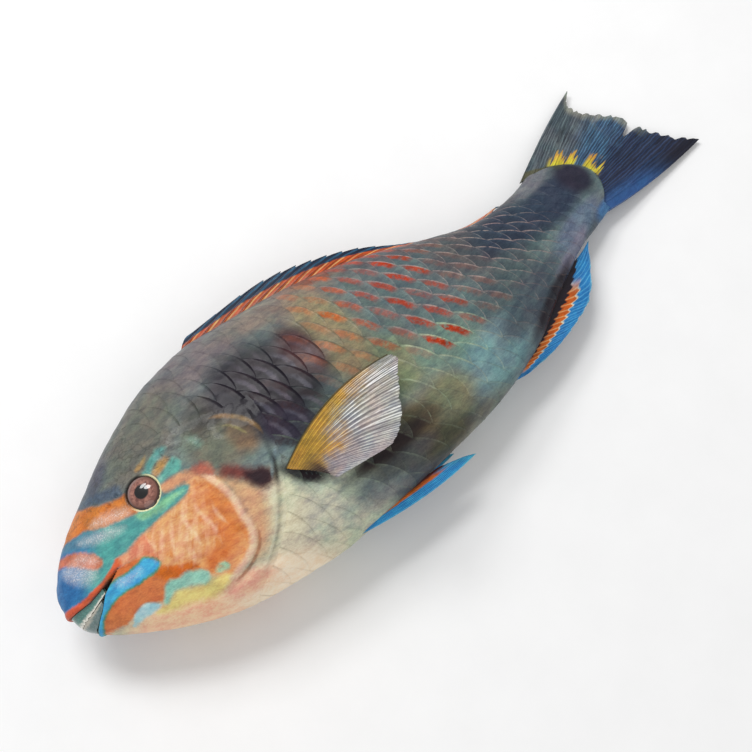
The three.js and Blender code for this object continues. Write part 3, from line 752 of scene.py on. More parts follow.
def skin_finish():
    f = Finish("parrotfish_skin", IOR=1.4, Specular_IOR_Level=0.25, Coat_Roughness=0.1, Coat_IOR=1.33)
    fish = f.vector("fish")
    x, y = fish.part(0), fish.part(1)
    edge_noise = f.wander(fish, 0.4, 2.6) + f.wander(fish, 1.5, 1.0)
    colour = painted(f, f.vector("ground"), edge_noise)

    cheek = f.step(-1.5, 2.5, f.number("m_cheek"))
    blotches = f.step(0.48, 0.68, f.noise(fish, 0.17, 3.0)) * cheek
    colour = f.blend(blotches * 0.55, colour, "#c9651c")
    upright = f.node("ShaderNodeVectorRotate", {"rotation_type": "Z_AXIS"}, {"Vector": fish, "Angle": 0.57})
    pale = f.step(0.44, 0.64, f.noise(upright.scaled((0.45, 0.07, 0.2)), 1.0, 3.0)) * cheek
    pale = pale * f.step(78.0, 66.0, x) * f.step(-36.0, -28.0, y)
    colour = f.blend(pale * 0.5, colour, "#eebd98")
    streak = f.step(1.7, 0.0, f.number("cheek_streak") + edge_noise * 0.34)
    colour = f.blend(streak * f.step(0.25, 0.55, f.noise(fish, 0.2, 2.0)) * 0.5, colour, "#f3cfb0")
    pores = f.cells(fish.scaled((0.6, 1.0, 1.0)), 0.45, "DISTANCE_TO_EDGE")
    pores = f.step(0.14, 0.02, pores) * f.number("cracks")
    colour = f.blend(pores * f.step(0.4, 0.6, f.noise(fish, 0.25, 2.0)) * 0.4, colour, "#33342f")
    for name, code, half_width, _ in LINES:
        line = f.step(half_width, half_width * 0.15, f.number("l_" + name) + edge_noise * 0.28)
        colour = f.blend(line * (0.7 if half_width > 0.6 else 0.8), colour, code)

    # Painted shade in the gill opening
    colour = f.blend(f.number("slit"), colour, "#1c1214")
    colour = f.blend(f.number("mouth"), colour, "#2e1712")
    colour, patches, fine = mottled(f, colour, fish)

    dx, dy = x - EYE_PLACE[0], y - EYE_PLACE[1]
    ring = (dx * dx + dy * dy) ** 0.5
    toward = (dy - dx) / ring
    # Painted shade: a dark crescent in the eye socket on its upper front side, where the socket's rim shades
    # it
    dark = f.step(6.4, 6.9, ring) * f.step(8.6, 7.2, ring) * f.step(0.2, 1.1, toward)
    colour = f.blend(dark * 0.9, colour, "#0f1112")
    pale = f.step(6.3, 6.5, ring) * f.step(8.0, 7.6, ring + edge_noise * 0.1) * f.step(0.75, -0.2, toward)
    colour = f.blend(pale * 0.95, colour, "#efe9b8")
    colour = f.blend(f.step(6.5, 6.2, ring) * 0.8, colour, "#4a3026")

    # Painted highlight: white specks and a soft sheen over the places of GLINTS
    specks = f.step(0.5, 0.6, f.noise(fish, 1.7, 4.0, 0.75))
    glint = f.step(-2.5, 2.5, f.number("glint") + edge_noise * 0.9)
    colour = f.blend(glint * 0.24 + glint * specks * 0.36, colour, "#f6f1ea")
    pepper = f.step(0.58, 0.68, f.noise(fish, 0.7, 4.0, 0.75)) * f.number("pepper")
    colour = f.blend(pepper * 0.75, colour, "#1c1d26")

    height = patches * 0.9 + fine * 0.35 + streak * 0.1 - pores * 0.2
    normal = f.bump(height, 0.5, 0.0009)
    rough = 0.42 + fine * 0.16
    return f.done(Base_Color=colour, Roughness=rough, Coat_Weight=0.1 + patches * 0.3, Normal=normal)


def scale_finish():
    f = Finish("parrotfish_scales", IOR=1.4, Specular_IOR_Level=0.2, Coat_Roughness=0.14, Coat_IOR=1.33)
    fish, plate = f.vector("fish"), f.vector("plate")
    along, across, tone = plate.part(0), plate.part(1), plate.part(2)
    margin = (1 - (along * along + across * across) ** 0.5) * (SCALE_HALF_LENGTH * 1.05)
    wobble = f.wander(fish, 0.22, 4.4) + f.wander(fish, 1.1, 2.6)
    shade = f.blend(tone, "#acacb0", "#cacac4")
    colour = f.blend(0.4, f.vector("ground"), shade, "OVERLAY")

    rear = f.step(-0.25, 0.2, along)
    inner = f.step(1.2, 4.6, margin + wobble * 0.6)
    colour = f.blend(inner * f.number("cell"), colour, f.vector("heart"))
    arc = f.step(2.8, 4.2, margin + wobble * 0.45) * f.step(6.4, 4.8, margin + wobble * 0.45)
    arc = arc * f.step(0.6, 0.1, across + wobble * 0.04) * f.step(0.2, 0.5, f.noise(fish, 0.15, 3.0))
    colour = f.blend(arc * f.number("arc_share") * rear, colour, "#625d6c")
    upper = f.step(-0.16, 0.14, across + wobble * 0.03) * f.step(0.84, 0.5, across + wobble * 0.05)
    patch = f.step(5.3, 3.3, margin + wobble * 0.7) * f.step(0.2, 1.0, margin + wobble * 0.2) * upper * rear
    patch = patch * (0.35 + f.step(0.36, 0.54, f.noise(fish, 0.5, 4.0, 0.7)) * 0.65)
    colour = f.blend(patch * f.number("blush_share"), colour, f.vector("blush"))
    width = f.step(-0.1, 0.15, across) * 0.7 + 0.6
    rim = f.step(width, width * 0.2, margin + wobble * 0.2) * rear * f.step(0.3, 0.5, f.noise(fish, 0.3, 2.0))
    rim = rim * (0.45 + f.step(-0.1, 0.15, across) * 0.55 * f.step(0.95, 0.6, across))
    colour = f.blend(rim * f.number("net_share"), colour, f.vector("net"))
    colour, patches, fine = mottled(f, colour, fish)

    rays = ((across / (along.size() + 0.7)) * 24.0).wave() * 0.04 * rear
    normal = f.bump(patches * 0.7 + fine * 0.3 + rays, 0.45, 0.0008)
    rough = 0.42 + fine * 0.18
    return f.done(Base_Color=colour, Roughness=rough, Coat_Weight=0.08 + patches * 0.28, Normal=normal)


# Skin
SKIN_RINGS, SKIN_SIDES, RING_CROWDING = 520, 384, 1.8


def tapering(curve, x, y, reach):
    """A distance added near both ends of a line, so that it grows thin there."""
    ends = [np.exp(-(np.hypot(x - end[0], y - end[1]) / reach) ** 2) for end in (curve[0], curve[-1])]
    return 0.4 * reach * (ends[0] + ends[1])


def head_values(x, y):
    """The numbers at each place that the skin's marks are painted from."""
    values = {"m_" + name: depth_in(corners, x, y) for name, _, _, corners in MARKS}
    for name, _, _, line in LINES:
        curve = spline(line, np.linspace(0, 1, 8 * len(line)))
        values["l_" + name] = np.minimum(distance_to(curve, x, y) + tapering(curve, x, y, 5), 9)
    streaks = [spline(line, np.linspace(0, 1, 8 * len(line))) for line in CHEEK_STREAKS]
    streaks = [distance_to(curve, x, y) + tapering(curve, x, y, 2.5) for curve in streaks]
    values["cheek_streak"] = np.minimum(np.min(streaks, axis=0), 9)
    values["glint"] = np.max([depth_in(patch, x, y) for patch in GLINTS], axis=0)
    return values


def make_skin(finish):
    share = np.arange(SKIN_RINGS) / (SKIN_RINGS - 1)
    stations = BODY_END * share ** RING_CROWDING
    angles = 2 * math.pi * np.arange(SKIN_SIDES) / SKIN_SIDES
    x, angle = np.meshgrid(stations, angles, indexing="ij")

    # Towards the tail the rings follow the curved edge of the scales
    blend_start = 286
    y = middle_at(x) + tall_at(x) * np.sin(angle)
    end = TAIL_BASE_X + 1.5 - TAIL_BASE_CURVE * (y - TAIL_BASE_Y) ** 2
    late = np.clip((x - blend_start) / (BODY_END - blend_start), 0, 1)
    x = np.where(late > 0, blend_start + late * (end - blend_start), x)
    places = ring_point(x, angle)
    normals = out_of_ring(x, angle)
    y, z = places[..., 1], places[..., 2]
    coat = COAT_DEPTH * scaled_share(x, y) * smooth_step(LAST_SCALES, LAST_SCALES - 8, x)
    out = relief(x, y, z) * smooth_step(1, 0.9, late) - coat
    places = places + normals * out[..., None]
    places[..., 2] *= mix(1, 0.25, smooth_step(0.9, 1, late))

    tip = (*SNOUT_TIP, 0)
    points = np.concatenate((places.reshape(-1, 3), [tip]))
    sides = SKIN_SIDES
    quads = unfolded(SKIN_RINGS, sides)[:, ::-1]
    i = np.arange(SKIN_RINGS - 1) * sides
    seam = np.stack((i + sides - 1, i, i + sides, i + 2 * sides - 1), -1)
    j = np.arange(sides)
    snout = np.stack((np.full(sides, len(points) - 1), (j + 1) % sides, j), -1)
    base, quarter = (SKIN_RINGS - 1) * sides, sides // 4
    k = np.arange(1 - quarter, quarter - 1)
    mirrored = lambda index: (2 * quarter - index) % sides
    tail_end = base + np.stack((k % sides, (k + 1) % sides, mirrored(k + 1), mirrored(k)), -1)

    px, py, pz = (np.append(values.ravel(), tip[n]) for n, values in enumerate((x, y, z)))
    past = behind_gill(px, py)
    # The painted shade in the gill opening: how dark it is, darkest between these heights
    darkest = smooth_step(-27, -22, py) * smooth_step(-11, -16, py)
    slit_span = mix(0.3 * smooth_step(-50, -40, py), 0.9, darkest)
    upper, lower = (np.interp(px, *np.array(line).T) for line in (UPPER_LIP, LOWER_LIP))
    gape = np.minimum(upper - py, py - lower)
    brow = ((28, 18), (40, 32), (60, 46), (80, 54), (84, 44), (60, 30), (44, 14))
    values = head_values(px, py)
    values.update(
        fish=np.stack((px, py, pz), -1),
        ground=ground(px, py),
        slit=slit_span * smooth_step(-4, -10, py) * np.exp(-((past - 1.5) / 1.1) ** 2),
        mouth=smooth_step(-0.3, 0.4, gape) * smooth_step(MOUTH_CORNER + 2, MOUTH_CORNER - 1, px),
        pepper=smooth_step(-8, 4, depth_in(brow, px, py)),
        cracks=smooth_step(0, 10, py) * smooth_step(110, 90, px),
    )
    u = np.append(np.broadcast_to(share[:, None], x.shape).ravel(), 0)
    v = np.append(np.broadcast_to(angles[None, :] / (2 * math.pi), x.shape).ravel(), 0.5)
    uv = np.stack((u, v), -1)
    seam_uv = uv[seam].copy()
    seam_uv[:, 1:3, 1] = 1
    corners = [uv[quads], seam_uv, uv[snout], uv[tail_end]]
    uv = np.concatenate([group.reshape(-1, 2) for group in corners])
    faces = [np.concatenate((quads, seam)), snout, tail_end]
    skin = make_piece("skin", in_frame(points), faces, finish, "skin", uv, **values)
    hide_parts("head", "lower_jaw", "gill_cover_left", "gill_cover_right", "trunk", "tail_stalk")


# Scales
PLATE_COLUMNS, PLATE_ROWS = 16, 20
SPLITS = ((0, 128), (128, 158), (158, 190), (190, 228), (228, 400))
LOWEST_SCALE = 0.8  # mean height over the floor of the lowest scale that is made
PATCH_SHARE, MAP_HEIGHT = 0.42, 300  # of a scale's patch on the map, and of the map round the body
ARC_RATIOS = np.linspace(0.05, 1.2, 60)


def arc_tables():
    """For ellipses of each width to height: the quarter's length, and angles at even shares of it."""
    angles = np.linspace(0, math.pi / 2, 181)
    lengths, at_share = [], []
    for ratio in ARC_RATIOS:
        speed = np.hypot(np.cos(angles), ratio * np.sin(angles))
        run = np.concatenate(([0], np.cumsum((speed[1:] + speed[:-1]) / 2 * np.diff(angles))))
        lengths.append(run[-1])
        at_share.append(np.interp(np.linspace(0, 1, 101), run / run[-1], angles))
    return np.array(lengths), np.array(at_share)


QUARTER_LENGTHS, QUARTER_ANGLES = arc_tables()


def quarter_length(x):
    return tall_at(x) * np.interp(half_at(x) / tall_at(x), ARC_RATIOS, QUARTER_LENGTHS)


def angle_at(x, arc):
    """The ring angle at a distance along the skin from the flank's middle line, up or down."""
    share = np.abs(arc) / quarter_length(x)
    folded = np.where(share > 1, 2 - np.minimum(share, 2), share)
    row = np.interp(half_at(x) / tall_at(x), ARC_RATIOS, np.arange(len(ARC_RATIOS)))
    row = np.clip(row, 0, len(ARC_RATIOS) - 1.001)
    column = np.clip(folded * 100, 0, 99.999)
    i, j = row.astype(int), column.astype(int)
    a, b = row - i, column - j
    angle = ((1 - a) * (1 - b) * QUARTER_ANGLES[i, j] + a * (1 - b) * QUARTER_ANGLES[i + 1, j]
             + (1 - a) * b * QUARTER_ANGLES[i, j + 1] + a * b * QUARTER_ANGLES[i + 1, j + 1])
    return np.sign(arc) * np.where(share > 1, math.pi - angle, angle)


def scale_size(x):
    return 1 - SHRINK * smooth_step(SHRINK_START, SHRINK_END, x)


def scale_columns():
    """Lengths of the rear tips of the scales of the middle row, from the head to the tail."""
    rearward, forward = [SCALE_TIP], [SCALE_TIP]
    while rearward[-1] < 312:
        rearward.append(rearward[-1] + SCALE_PITCH * float(scale_size(rearward[-1] + 4)))
    while forward[-1] > 60:
        forward.append(forward[-1] - SCALE_PITCH * float(scale_size(forward[-1] - 4)))
    return sorted(forward[1:] + rearward)


def scale_places():
    """Each scale's rear tip: its length, distance from the flank's middle line, size and height."""
    found = []
    for tip in scale_columns():
        size = float(scale_size(tip))
        quarter = float(quarter_length(tip))
        for row in range(-5, 6):
            arc = (row * SCALE_ROW + ROW_OFFSET) * size
            place = tip - ROW_LEAN * arc
            if abs(arc) > quarter + 2 * size or not 66 < place < LAST_SCALES:
                continue
            inner = np.clip(arc, -quarter, quarter)
            y = float(middle_at(place) + tall_at(place) * np.sin(angle_at(place, inner)))
            tail_limit = TAIL_BASE_X - TAIL_BASE_CURVE * (y - TAIL_BASE_Y) ** 2 + 0.5
            if place < tail_limit and float(scaled_share(np.array([place - 3.0]), np.array([y]))[0]) > 0.5:
                found.append((place, arc, size, y))
    return np.array(found)


def boldness(x, y):
    """How much the scales stand out, from 0 to 1."""
    bold = mix(0.12, 0.45, smooth_step(108, 122, x))
    bold = mix(bold, 0.85, smooth_step(160, 185, x) * smooth_step(-14, 0, y))
    bold = np.where(y < -18, np.minimum(bold, 0.35), bold)
    return bold * smooth_step(306, 268, x)


def crescents(x, y):
    """Colour and strength of the crescents on the scales, at places in the side view."""
    colour = shaded(paint("#2a1119"), "#b8602c", 140, 152, x)
    colour = shaded(colour, "#a8330f", 166, 180, x)
    colour = shaded(colour, "#8a5242", 204, 222, x)
    shoulder = smooth_step(150, 142, x) * smooth_step(104, 114, x)
    shoulder = shoulder * smooth_step(38, 28, y) * smooth_step(-24, -8, y)
    lower_edge = mix(2, -16, smooth_step(168, 196, x))
    orange = smooth_step(140, 156, x) * smooth_step(244, 208, x) * smooth_step(58, 46, y)
    orange = orange * smooth_step(lower_edge - 5, lower_edge + 6, y)
    return colour, np.clip(np.maximum(0.7 * shoulder, orange), 0, 1)


def rims(x, y):
    """Colour and strength of the paler rims of the scales."""
    colour = shaded(paint("#6d6674"), "#b09a98", 150, 195, x)
    low_front = smooth_step(-2, -12, y) * smooth_step(226, 208, x)
    colour = mix(colour, paint("#b3bfa4"), low_front[..., None])
    strength = 0.12 + 0.5 * smooth_step(160, 215, x) * smooth_step(284, 258, x) * smooth_step(-24, -6, y)
    low_flank = smooth_step(160, 172, x) * smooth_step(222, 204, x) * (y > -34)
    strength += 0.45 * low_flank * smooth_step(4, -10, y)
    return colour, np.clip(strength * smooth_step(286, 270, x) * smooth_step(104, 114, x), 0, 0.8)


def hearts(x, y):
    """Colour of the middle of the scales, how much it shows, and how much a pale arc shows in it."""
    colour = shaded(paint("#566058"), "#465860", 176, 200, x)
    colour = shaded(colour, "#242c3a", 222, 250, x)
    shoulder = smooth_step(150, 142, x) * smooth_step(106, 116, x)
    shoulder = shoulder * smooth_step(34, 24, y) * smooth_step(-20, -8, y)
    strength = 0.45 * smooth_step(160, 182, x) * smooth_step(-16, 0, y) * smooth_step(290, 262, x)
    return colour, np.clip(strength, 0, 0.7), 0.5 * shoulder


def make_scales(finish):
    """The scales of both flanks as thin closed plates, joined in pieces from the nape to the tail."""
    columns, rows = PLATE_COLUMNS, PLATE_ROWS
    a, b = np.meshgrid(np.linspace(-1, 1, columns), np.linspace(-1, 1, rows), indexing="ij")
    disc_a, disc_b = a * np.sqrt(1 - b * b / 2), b * np.sqrt(1 - a * a / 2)
    table = scale_places()
    draw = np.random.default_rng(17)
    for side, side_name in ((1, "left"), (-1, "right")):
        for part, (start, end) in enumerate(SPLITS):
            chosen = table[(table[:, 0] >= start) & (table[:, 0] < end)]
            tip, arc, size = (chosen[:, n, None, None] for n in range(3))
            grow = size * draw.uniform(0.97, 1.03, (len(chosen), 1, 1))
            across = SCALE_HALF_WIDTH * grow * disc_b
            x = tip + SCALE_HALF_LENGTH * (grow * disc_a - size) - SCALE_SHEAR * across
            x = np.clip(x, 0.5, BODY_END - 0.5)
            base, normal = on_flank(x, arc + across, side)
            y, z = base[..., 1], base[..., 2]
            bold = boldness(x, y)
            features = np.where(x < 120, relief(x, y, z), 0.12 * wave_noise(x, y, z, 22, 3))
            tucked = smooth_step(4.2, 2.2, behind_gill(x, y)) * smooth_step(13, 8, y)
            height = 0.1 - COAT_DEPTH + (0.08 + 0.13 * bold) * disc_a
            height = height + np.maximum(features, -0.9) - 3 * tucked
            rim = np.sqrt(np.maximum(0, 1 - disc_a ** 2 - disc_b ** 2))
            thin = (0.03 + 0.05 * bold) * (1 + rim)
            top = base + normal * height[..., None]
            bottom = base + normal * (height - thin)[..., None]
            above_floor = laid(top)[..., 2] + ORIGIN[2] / MM
            kept = np.flatnonzero(above_floor.mean(axis=(1, 2)) > LOWEST_SCALE)
            if len(kept) == 0:
                continue
            points, faces = [], []
            for n in kept:
                plate, sides = slab(top[n], bottom[n], columns, rows)
                faces.append(sides + len(points) * len(plate))
                points.append(plate)
            points, faces = np.concatenate(points), np.concatenate(faces)
            per = 2 * columns * rows
            each = lambda values: np.repeat(values, per, axis=0)
            doubled = lambda grid: np.tile(grid[kept].reshape(len(kept), -1), 2).ravel()
            disc = np.tile(np.column_stack((disc_a.ravel(), disc_b.ravel())), (2 * len(kept), 1))
            tip_x, tip_arc, scale, tip_y = chosen[kept].T
            blush, strength = crescents(tip_x, tip_y + 5)
            net, net_share = rims(tip_x, tip_y)
            heart, cell, arc_share = hearts(tip_x, tip_y)
            own = ground(doubled(x), doubled(y))
            whole = ground(tip_x - 4, tip_y)
            patch = disc * PATCH_SHARE * each(scale)[:, None]
            u = (each(tip_x) + patch[:, 0] * SCALE_PITCH) / BODY_END
            v = 0.25 * (2 - side) + (each(tip_arc) + patch[:, 1] * SCALE_ROW) / MAP_HEIGHT
            tones = draw.uniform(0, 1, len(kept))
            strength = np.clip(strength * draw.uniform(0.3, 1.25, len(kept)), 0, 1)
            make_piece(
                f"scales_{side_name}_{part + 1}", in_frame(points), [faces], finish, "scales",
                uv=np.stack((u, v), -1), fish=points, ground=mix(own, each(whole), 0.15),
                plate=np.column_stack((disc, each(tones))), blush=each(blush), blush_share=each(strength),
                net=each(net), net_share=each(net_share), heart=each(heart), cell=each(cell),
                arc_share=each(arc_share),
            )


def on_flank(x, arc, side):
    """Places on the smooth body and the ways out of it, by distance from the flank's middle line."""
    limit = quarter_length(x) - 2
    over = np.abs(arc) - limit
    eased = limit + 2 * (1 - np.exp(-np.maximum(over, 0) / 2))
    arc = np.sign(arc) * np.where(over > 0, eased, np.abs(arc))
    angle = angle_at(x, arc)
    flank = angle if side > 0 else math.pi - angle
    return ring_point(x, flank), out_of_ring(x, flank)


# Fins. A fin is a sheet of rays from s = 0, the first ray, to s = 1. A ray runs from v = 0, its root, to
# v = 1, its tip.
def sheet_between(roots, tips, bow):
    def sheet(s, v):
        start, end = spline(roots, s), spline(tips, s)
        return mix(start, end, v[..., None]) + bow(s) * (4 * v * (1 - v))[..., None]
    return sheet


def bow_of(dx, dy, dz):
    return lambda s: np.stack((dx + 0 * s, dy + 0 * s, dz + 0 * s), -1)


DORSAL_TIPS = (
    (103, 60.2, 0), (145, 65.2, 0), (173, 61.8, -0.5), (199, 54.4, -2.6), (224, 42, -7), (249, 30, -10.2),
    (276, 24, -9.2),
)
CAUDAL_TIPS = (
    (346.5, 30, 0), (338.5, 25, 0.4), (339, 17, 0.6), (342.5, 9, 0.3), (346.5, 0, 0), (347, -9, -0.2),
    (347.5, -17, 0.2), (350.5, -28, 0.3), (356.5, -40, -0.3),
)


def dorsal_sheet(s, v):
    x = mix(DORSAL_START, DORSAL_END, s)
    start = np.stack((x, back_at(x) - 1.5, 0 * x), -1)
    lift = (4.5 * v * (1 - v))[..., None] * np.array((0, 1, 0))
    return mix(start, spline(DORSAL_TIPS, s), v[..., None]) + lift


def caudal_sheet(s, v):
    y = mix(TAIL_ROOT_TOP, TAIL_ROOT_BOTTOM, s)
    start = np.stack((TAIL_BASE_X - TAIL_BASE_CURVE * (y - TAIL_BASE_Y) ** 2 + GAP, y, 0 * y), -1)
    bow = (-1.5 * (2 * s - 1) ** 3 * 4 * v * (1 - v))[..., None] * np.array((0, 1, 0))
    return mix(start, spline(CAUDAL_TIPS, s), v[..., None]) + bow


anal_sheet = sheet_between(
    ((207, -40.2, 0), (220, -37.2, 0), (234, -32.6, 0), (249, -26.8, 0), (265, -21.8, 0)),
    ((218, -42.6, -1), (232, -43.4, -2), (246, -42, -2.5), (260, -38.8, -2.5), (281.5, -21, -1)),
    bow_of(0, -0.8, -0.6),
)
pectoral_left_sheet = sheet_between(
    ((110.4, -19.8, 26.4), (114.8, -24, 25.9), (118.6, -28, 25), (122.4, -32.4, 23.6)),
    ((168, -5, 34), (170, -8.5, 34.5), (164.5, -18, 35), (158, -30.5, 35), (151, -37.2, 34),
     (139, -37.5, 32.5), (124, -36.6, 30.5)),
    lambda s: np.stack((0 * s, mix(5.5, -1, s), 1.5 + 0 * s), -1),
)
FLAT_LEVEL = 1 - AXIS_HEIGHT
pectoral_right_sheet = sheet_between(
    [(x, y, FLAT_LEVEL) for x, y in ((111, -12), (111.5, -14.5), (111.5, -17), (111, -19.5))],
    [(x, y, FLAT_LEVEL) for x, y in ((170, -1), (174, -5), (171, -11), (164, -17), (154, -21))],
    bow_of(0, 0, 0),
)
pelvic_bow = lambda s: np.stack((0 * s, mix(-2.2, 0.4, s), 0 * s), -1)
pelvic_left_sheet = sheet_between(
    ((118, -57.2, 3), (120.5, -56.2, 3.8), (123, -55.2, 4.6)),
    ((178.5, -55.5, -1), (174, -53.6, -0.4), (163, -51, 0.6)), pelvic_bow,
)
pelvic_right_sheet = sheet_between(
    ((116, -50.5, -14), (118.5, -49.6, -14.8), (121, -48.8, -15.4)),
    ((174, -48.2, -13), (170, -46.4, -13.6), (162, -45, -14.2)), pelvic_bow,
)


def ray_strands(from_ray, v, branch):
    """How much a place is on a ray, which splits in two and then in four on its way to the fin's edge."""
    first = branch * 0.25 * smooth_step(0.2, 0.6, v)
    second = branch * 0.115 * smooth_step(0.55, 0.95, v)
    width = 0.085
    found = 0
    for one in (-1, 1):
        for two in (-1, 1):
            found = np.maximum(found, np.exp(-((from_ray - one * first - two * second) / width) ** 2))
    return found


def make_fin(name, node, sheet, finish, rays, rows, membrane, ridge, taper, notch=0.0, branch=0.0, per_ray=16,
             start=0.0, ragged=0.0, seed=1, split=None, slant=0.0, stepped=False):
    """A fin with a ridge on both faces for every ray, whose free edge runs in between the rays' tips."""
    draw = np.random.default_rng(seed)
    columns = (rays - 1) * per_ray + 1
    s, v = np.meshgrid(np.linspace(0, 1, columns), np.linspace(0, 1, rows), indexing="ij")
    phase = (s - slant * v) * (rays - 1)
    edge_phase = (s - slant) * (rays - 1)
    if stepped:
        part = edge_phase - np.floor(edge_phase)
        reach = 1 - notch * (1 - np.where(part < 0.85, part / 0.85, (1 - part) / 0.15))
    else:
        reach = 1 - notch * (2 * np.abs(edge_phase - np.round(edge_phase))) ** 2
    reach -= ragged * np.interp(s, np.linspace(0, 1, 4 * rays), draw.uniform(0, 1, 4 * rays))
    if split is not None:
        reach -= split[1] * np.exp(-(((s - split[0]) / split[2]) ** 2) ** 1.5)
    from_ray = phase - np.round(phase)
    strand = ray_strands(from_ray, v, branch)
    v = start + (reach - start) * v
    places = sheet(s, v)
    step = 1e-3  # of s and v, for slopes
    inner = np.clip(s, step, 1 - step)
    across = sheet(inner + step, v) - sheet(inner - step, v)
    along = sheet(s, v + step) - sheet(s, v - step)
    normal = np.cross(across, along)
    normal /= np.maximum(np.linalg.norm(normal, axis=-1, keepdims=True), 1e-12)
    thick = (membrane + ridge * strand) * mix(1, taper, v) / 2
    sway = 0.18 * np.sin(math.pi * 2 * phase) * smooth_step(0.1, 0.8, v) * membrane
    front = places + normal * (sway + thick)[..., None]
    back = places + normal * (sway - thick)[..., None]
    points, faces = slab(front, back, columns, rows)
    if faces_out(front, back) < 0:
        faces = faces[:, ::-1]
    face_side = np.repeat((0.0, 1.0), s.size)
    uv = np.stack((twice(s) * 0.98 + 0.01, twice(v) * 0.47 + face_side * 0.5 + 0.02), -1)
    piece = make_piece(name, in_frame(points), [faces], finish, "fin", uv=uv, fish=points,
                       sheet=np.stack((twice(s), twice(v), twice(strand)), -1), phase=twice(phase))
    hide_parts(node)


def faces_out(front, back):
    """Over 0 where the faces made by slab turn out of the front of a fin."""
    a, b, c = front[0, 0], front[-1, 0], front[0, -1]
    return float(np.dot(np.cross(b - a, c - a), front[1, 1] - back[1, 1]))


def fin_base(name, **constants):
    f = Finish(name, IOR=1.4, Specular_IOR_Level=0.4, Coat_Roughness=0.15, Coat_IOR=1.33, **constants)
    sheet, fish = f.vector("sheet"), f.vector("fish")
    return f, sheet.part(0), sheet.part(1), sheet.part(2), fish


def fin_done(f, colour, strand, fish, **more):
    colour, patches, fine = mottled(f, colour, fish)
    normal = f.bump(strand * 0.5 + fine * 0.4, 0.4, 0.0004)
    wet = 0.1 + patches * 0.3
    return f.done(Base_Color=colour, Roughness=0.38 + fine * 0.18, Coat_Weight=wet, Normal=normal, **more)


def dorsal_finish():
    f, s, v, strand, fish = fin_base("dorsal_fin_skin")
    bend = f.wander(fish, 0.12, 2.0, 2.0)
    run = f.number("phase") * FULL_TURN + bend
    fine_run = (run * 2.3 + f.wander(fish, 0.2, 3.0, 2.0)).wave()
    colour = f.blend(f.step(0.55, 1.0, run.wave()), "#bf4a06", "#dba468")
    colour = f.blend(f.step(0.5, 1.0, fine_run) * 0.35, colour, "#7c2c0c")
    colour = f.blend(f.step(0.6, 1.0, (run + 2.4).wave()) * 0.8, colour, "#43200f")
    colour = f.blend(f.step(0.25, 0.1, v) * 0.5, colour, "#7d6454")
    edge = v + f.wander(fish, 0.4, 0.14) - s * 0.3
    margin = f.step(0.36, 0.44, edge)
    deep = f.blend(f.step(0.4, 0.95, (run + 1.0).wave()), "#16263f", "#265a7c")
    colour = f.blend(margin, colour, deep)
    return fin_done(f, colour, strand, fish)


def anal_finish():
    f, s, v, strand, fish = fin_base("anal_fin_skin")
    uneven = f.wander(fish, 0.3, 0.14)
    run = f.number("phase") * FULL_TURN
    fine_rays = (run * 3.0 + f.wander(fish, 0.3, 3.0, 2.0)).wave()
    colour = f.blend(f.step(0.5, 1.0, fine_rays) * 0.6, "#2377ba", "#5fb0da")
    colour = f.blend(f.step(0.9, 0.99, v + uneven * 0.3) * 0.5, colour, "#7fc2c8")
    middle = f.step(0.06, 0.14, s) * f.step(0.88, 0.78, s)
    depth = v + uneven - s * 0.3 + (run * 2.0 + 1.0).wave() * 0.03
    colour = f.blend(f.step(0.35, 0.3, depth) * middle, colour, "#d6cdb4")
    inner = f.blend(f.step(0.6, 1.0, (run * 2.0 + 1.0).wave()) * 0.6, "#bf5a14", "#ddb27c")
    colour = f.blend(f.step(0.31, 0.27, depth) * middle, colour, inner)
    # Painted shade on the fin's root, next to the body
    colour = f.blend(f.step(0.09, 0.03, depth) * f.step(0.02, 0.1, s), colour, "#1b131f")
    return fin_done(f, colour, strand, fish)


def caudal_finish():
    f, s, v, strand, fish = fin_base("tail_fin_skin")
    uneven = f.noise(fish, 0.16, 4.0)
    run = f.number("phase") * FULL_TURN
    lines = f.step(0.1, 0.9, (run * 3.0 + f.wander(fish, 0.2, 7.0)).wave())
    upper = f.blend(lines, "#465059", "#5f6c74")
    middle = f.blend(lines, "#304c6a", "#4d7499")
    lower = f.blend(lines, "#1d2640", "#293f66")
    colour = f.blend(f.step(0.22, 0.42, s + (uneven - 0.5) * 0.25), upper, middle)
    colour = f.blend(f.step(0.5, 0.68, s + (uneven - 0.5) * 0.25), colour, lower)
    colour = f.blend(strand * 0.25, colour, "#20293a")
    gashes = f.streaks(s * 60.0, v * 2.6)
    colour = f.blend(f.step(0.54, 0.68, gashes) * f.step(0.02, 0.2, v) * 0.75, colour, "#15141f")
    colour = f.blend(f.step(0.5, 0.72, uneven) * f.step(0.6, 0.4, s) * 0.3, colour, "#7c878b")
    colour = f.blend(f.step(0.8, 0.97, s - v * 0.06) * f.step(0.85, 0.3, v) * 0.9, colour, "#2a558f")
    colour = f.blend(f.step(0.86, 0.96, s) * f.step(0.4, 0.8, v) * 0.9, colour, "#141223")
    edge = f.step(0.84, 0.97, v + (uneven - 0.5) * 0.2) * f.step(0.8, 0.6, s)
    colour = f.blend(edge * 0.7, colour, "#8b8f86")
    tongues = f.streaks(s * 36.0, v * 2.0, 2.0)
    reach = 0.05 + f.step(0.3, 0.62, tongues) * 0.26
    length = f.step(0.03, -0.03, v - reach * f.step(0.08, 0.2, s) * f.step(0.74, 0.6, s))
    dashes = length * f.step(0.13, 0.19, s) * f.step(0.7, 0.63, s) * f.step(0.015, 0.05, v)
    dashes = dashes * f.step(0.03, 0.06, ((s - 0.43) ** 2) ** 0.5)
    yellow = f.blend(f.step(0.4, 0.9, v / (reach + 0.001)), "#d9c62e", "#cf9a3c")
    colour = f.blend(dashes * 0.92, colour, f.blend(lines * 0.4, yellow, "#8f8430"))
    colour = f.blend(f.step(0.05, 0.02, v) * f.step(0.6, 0.3, s) * 0.85, colour, "#54523a")
    return fin_done(f, colour, strand, fish)


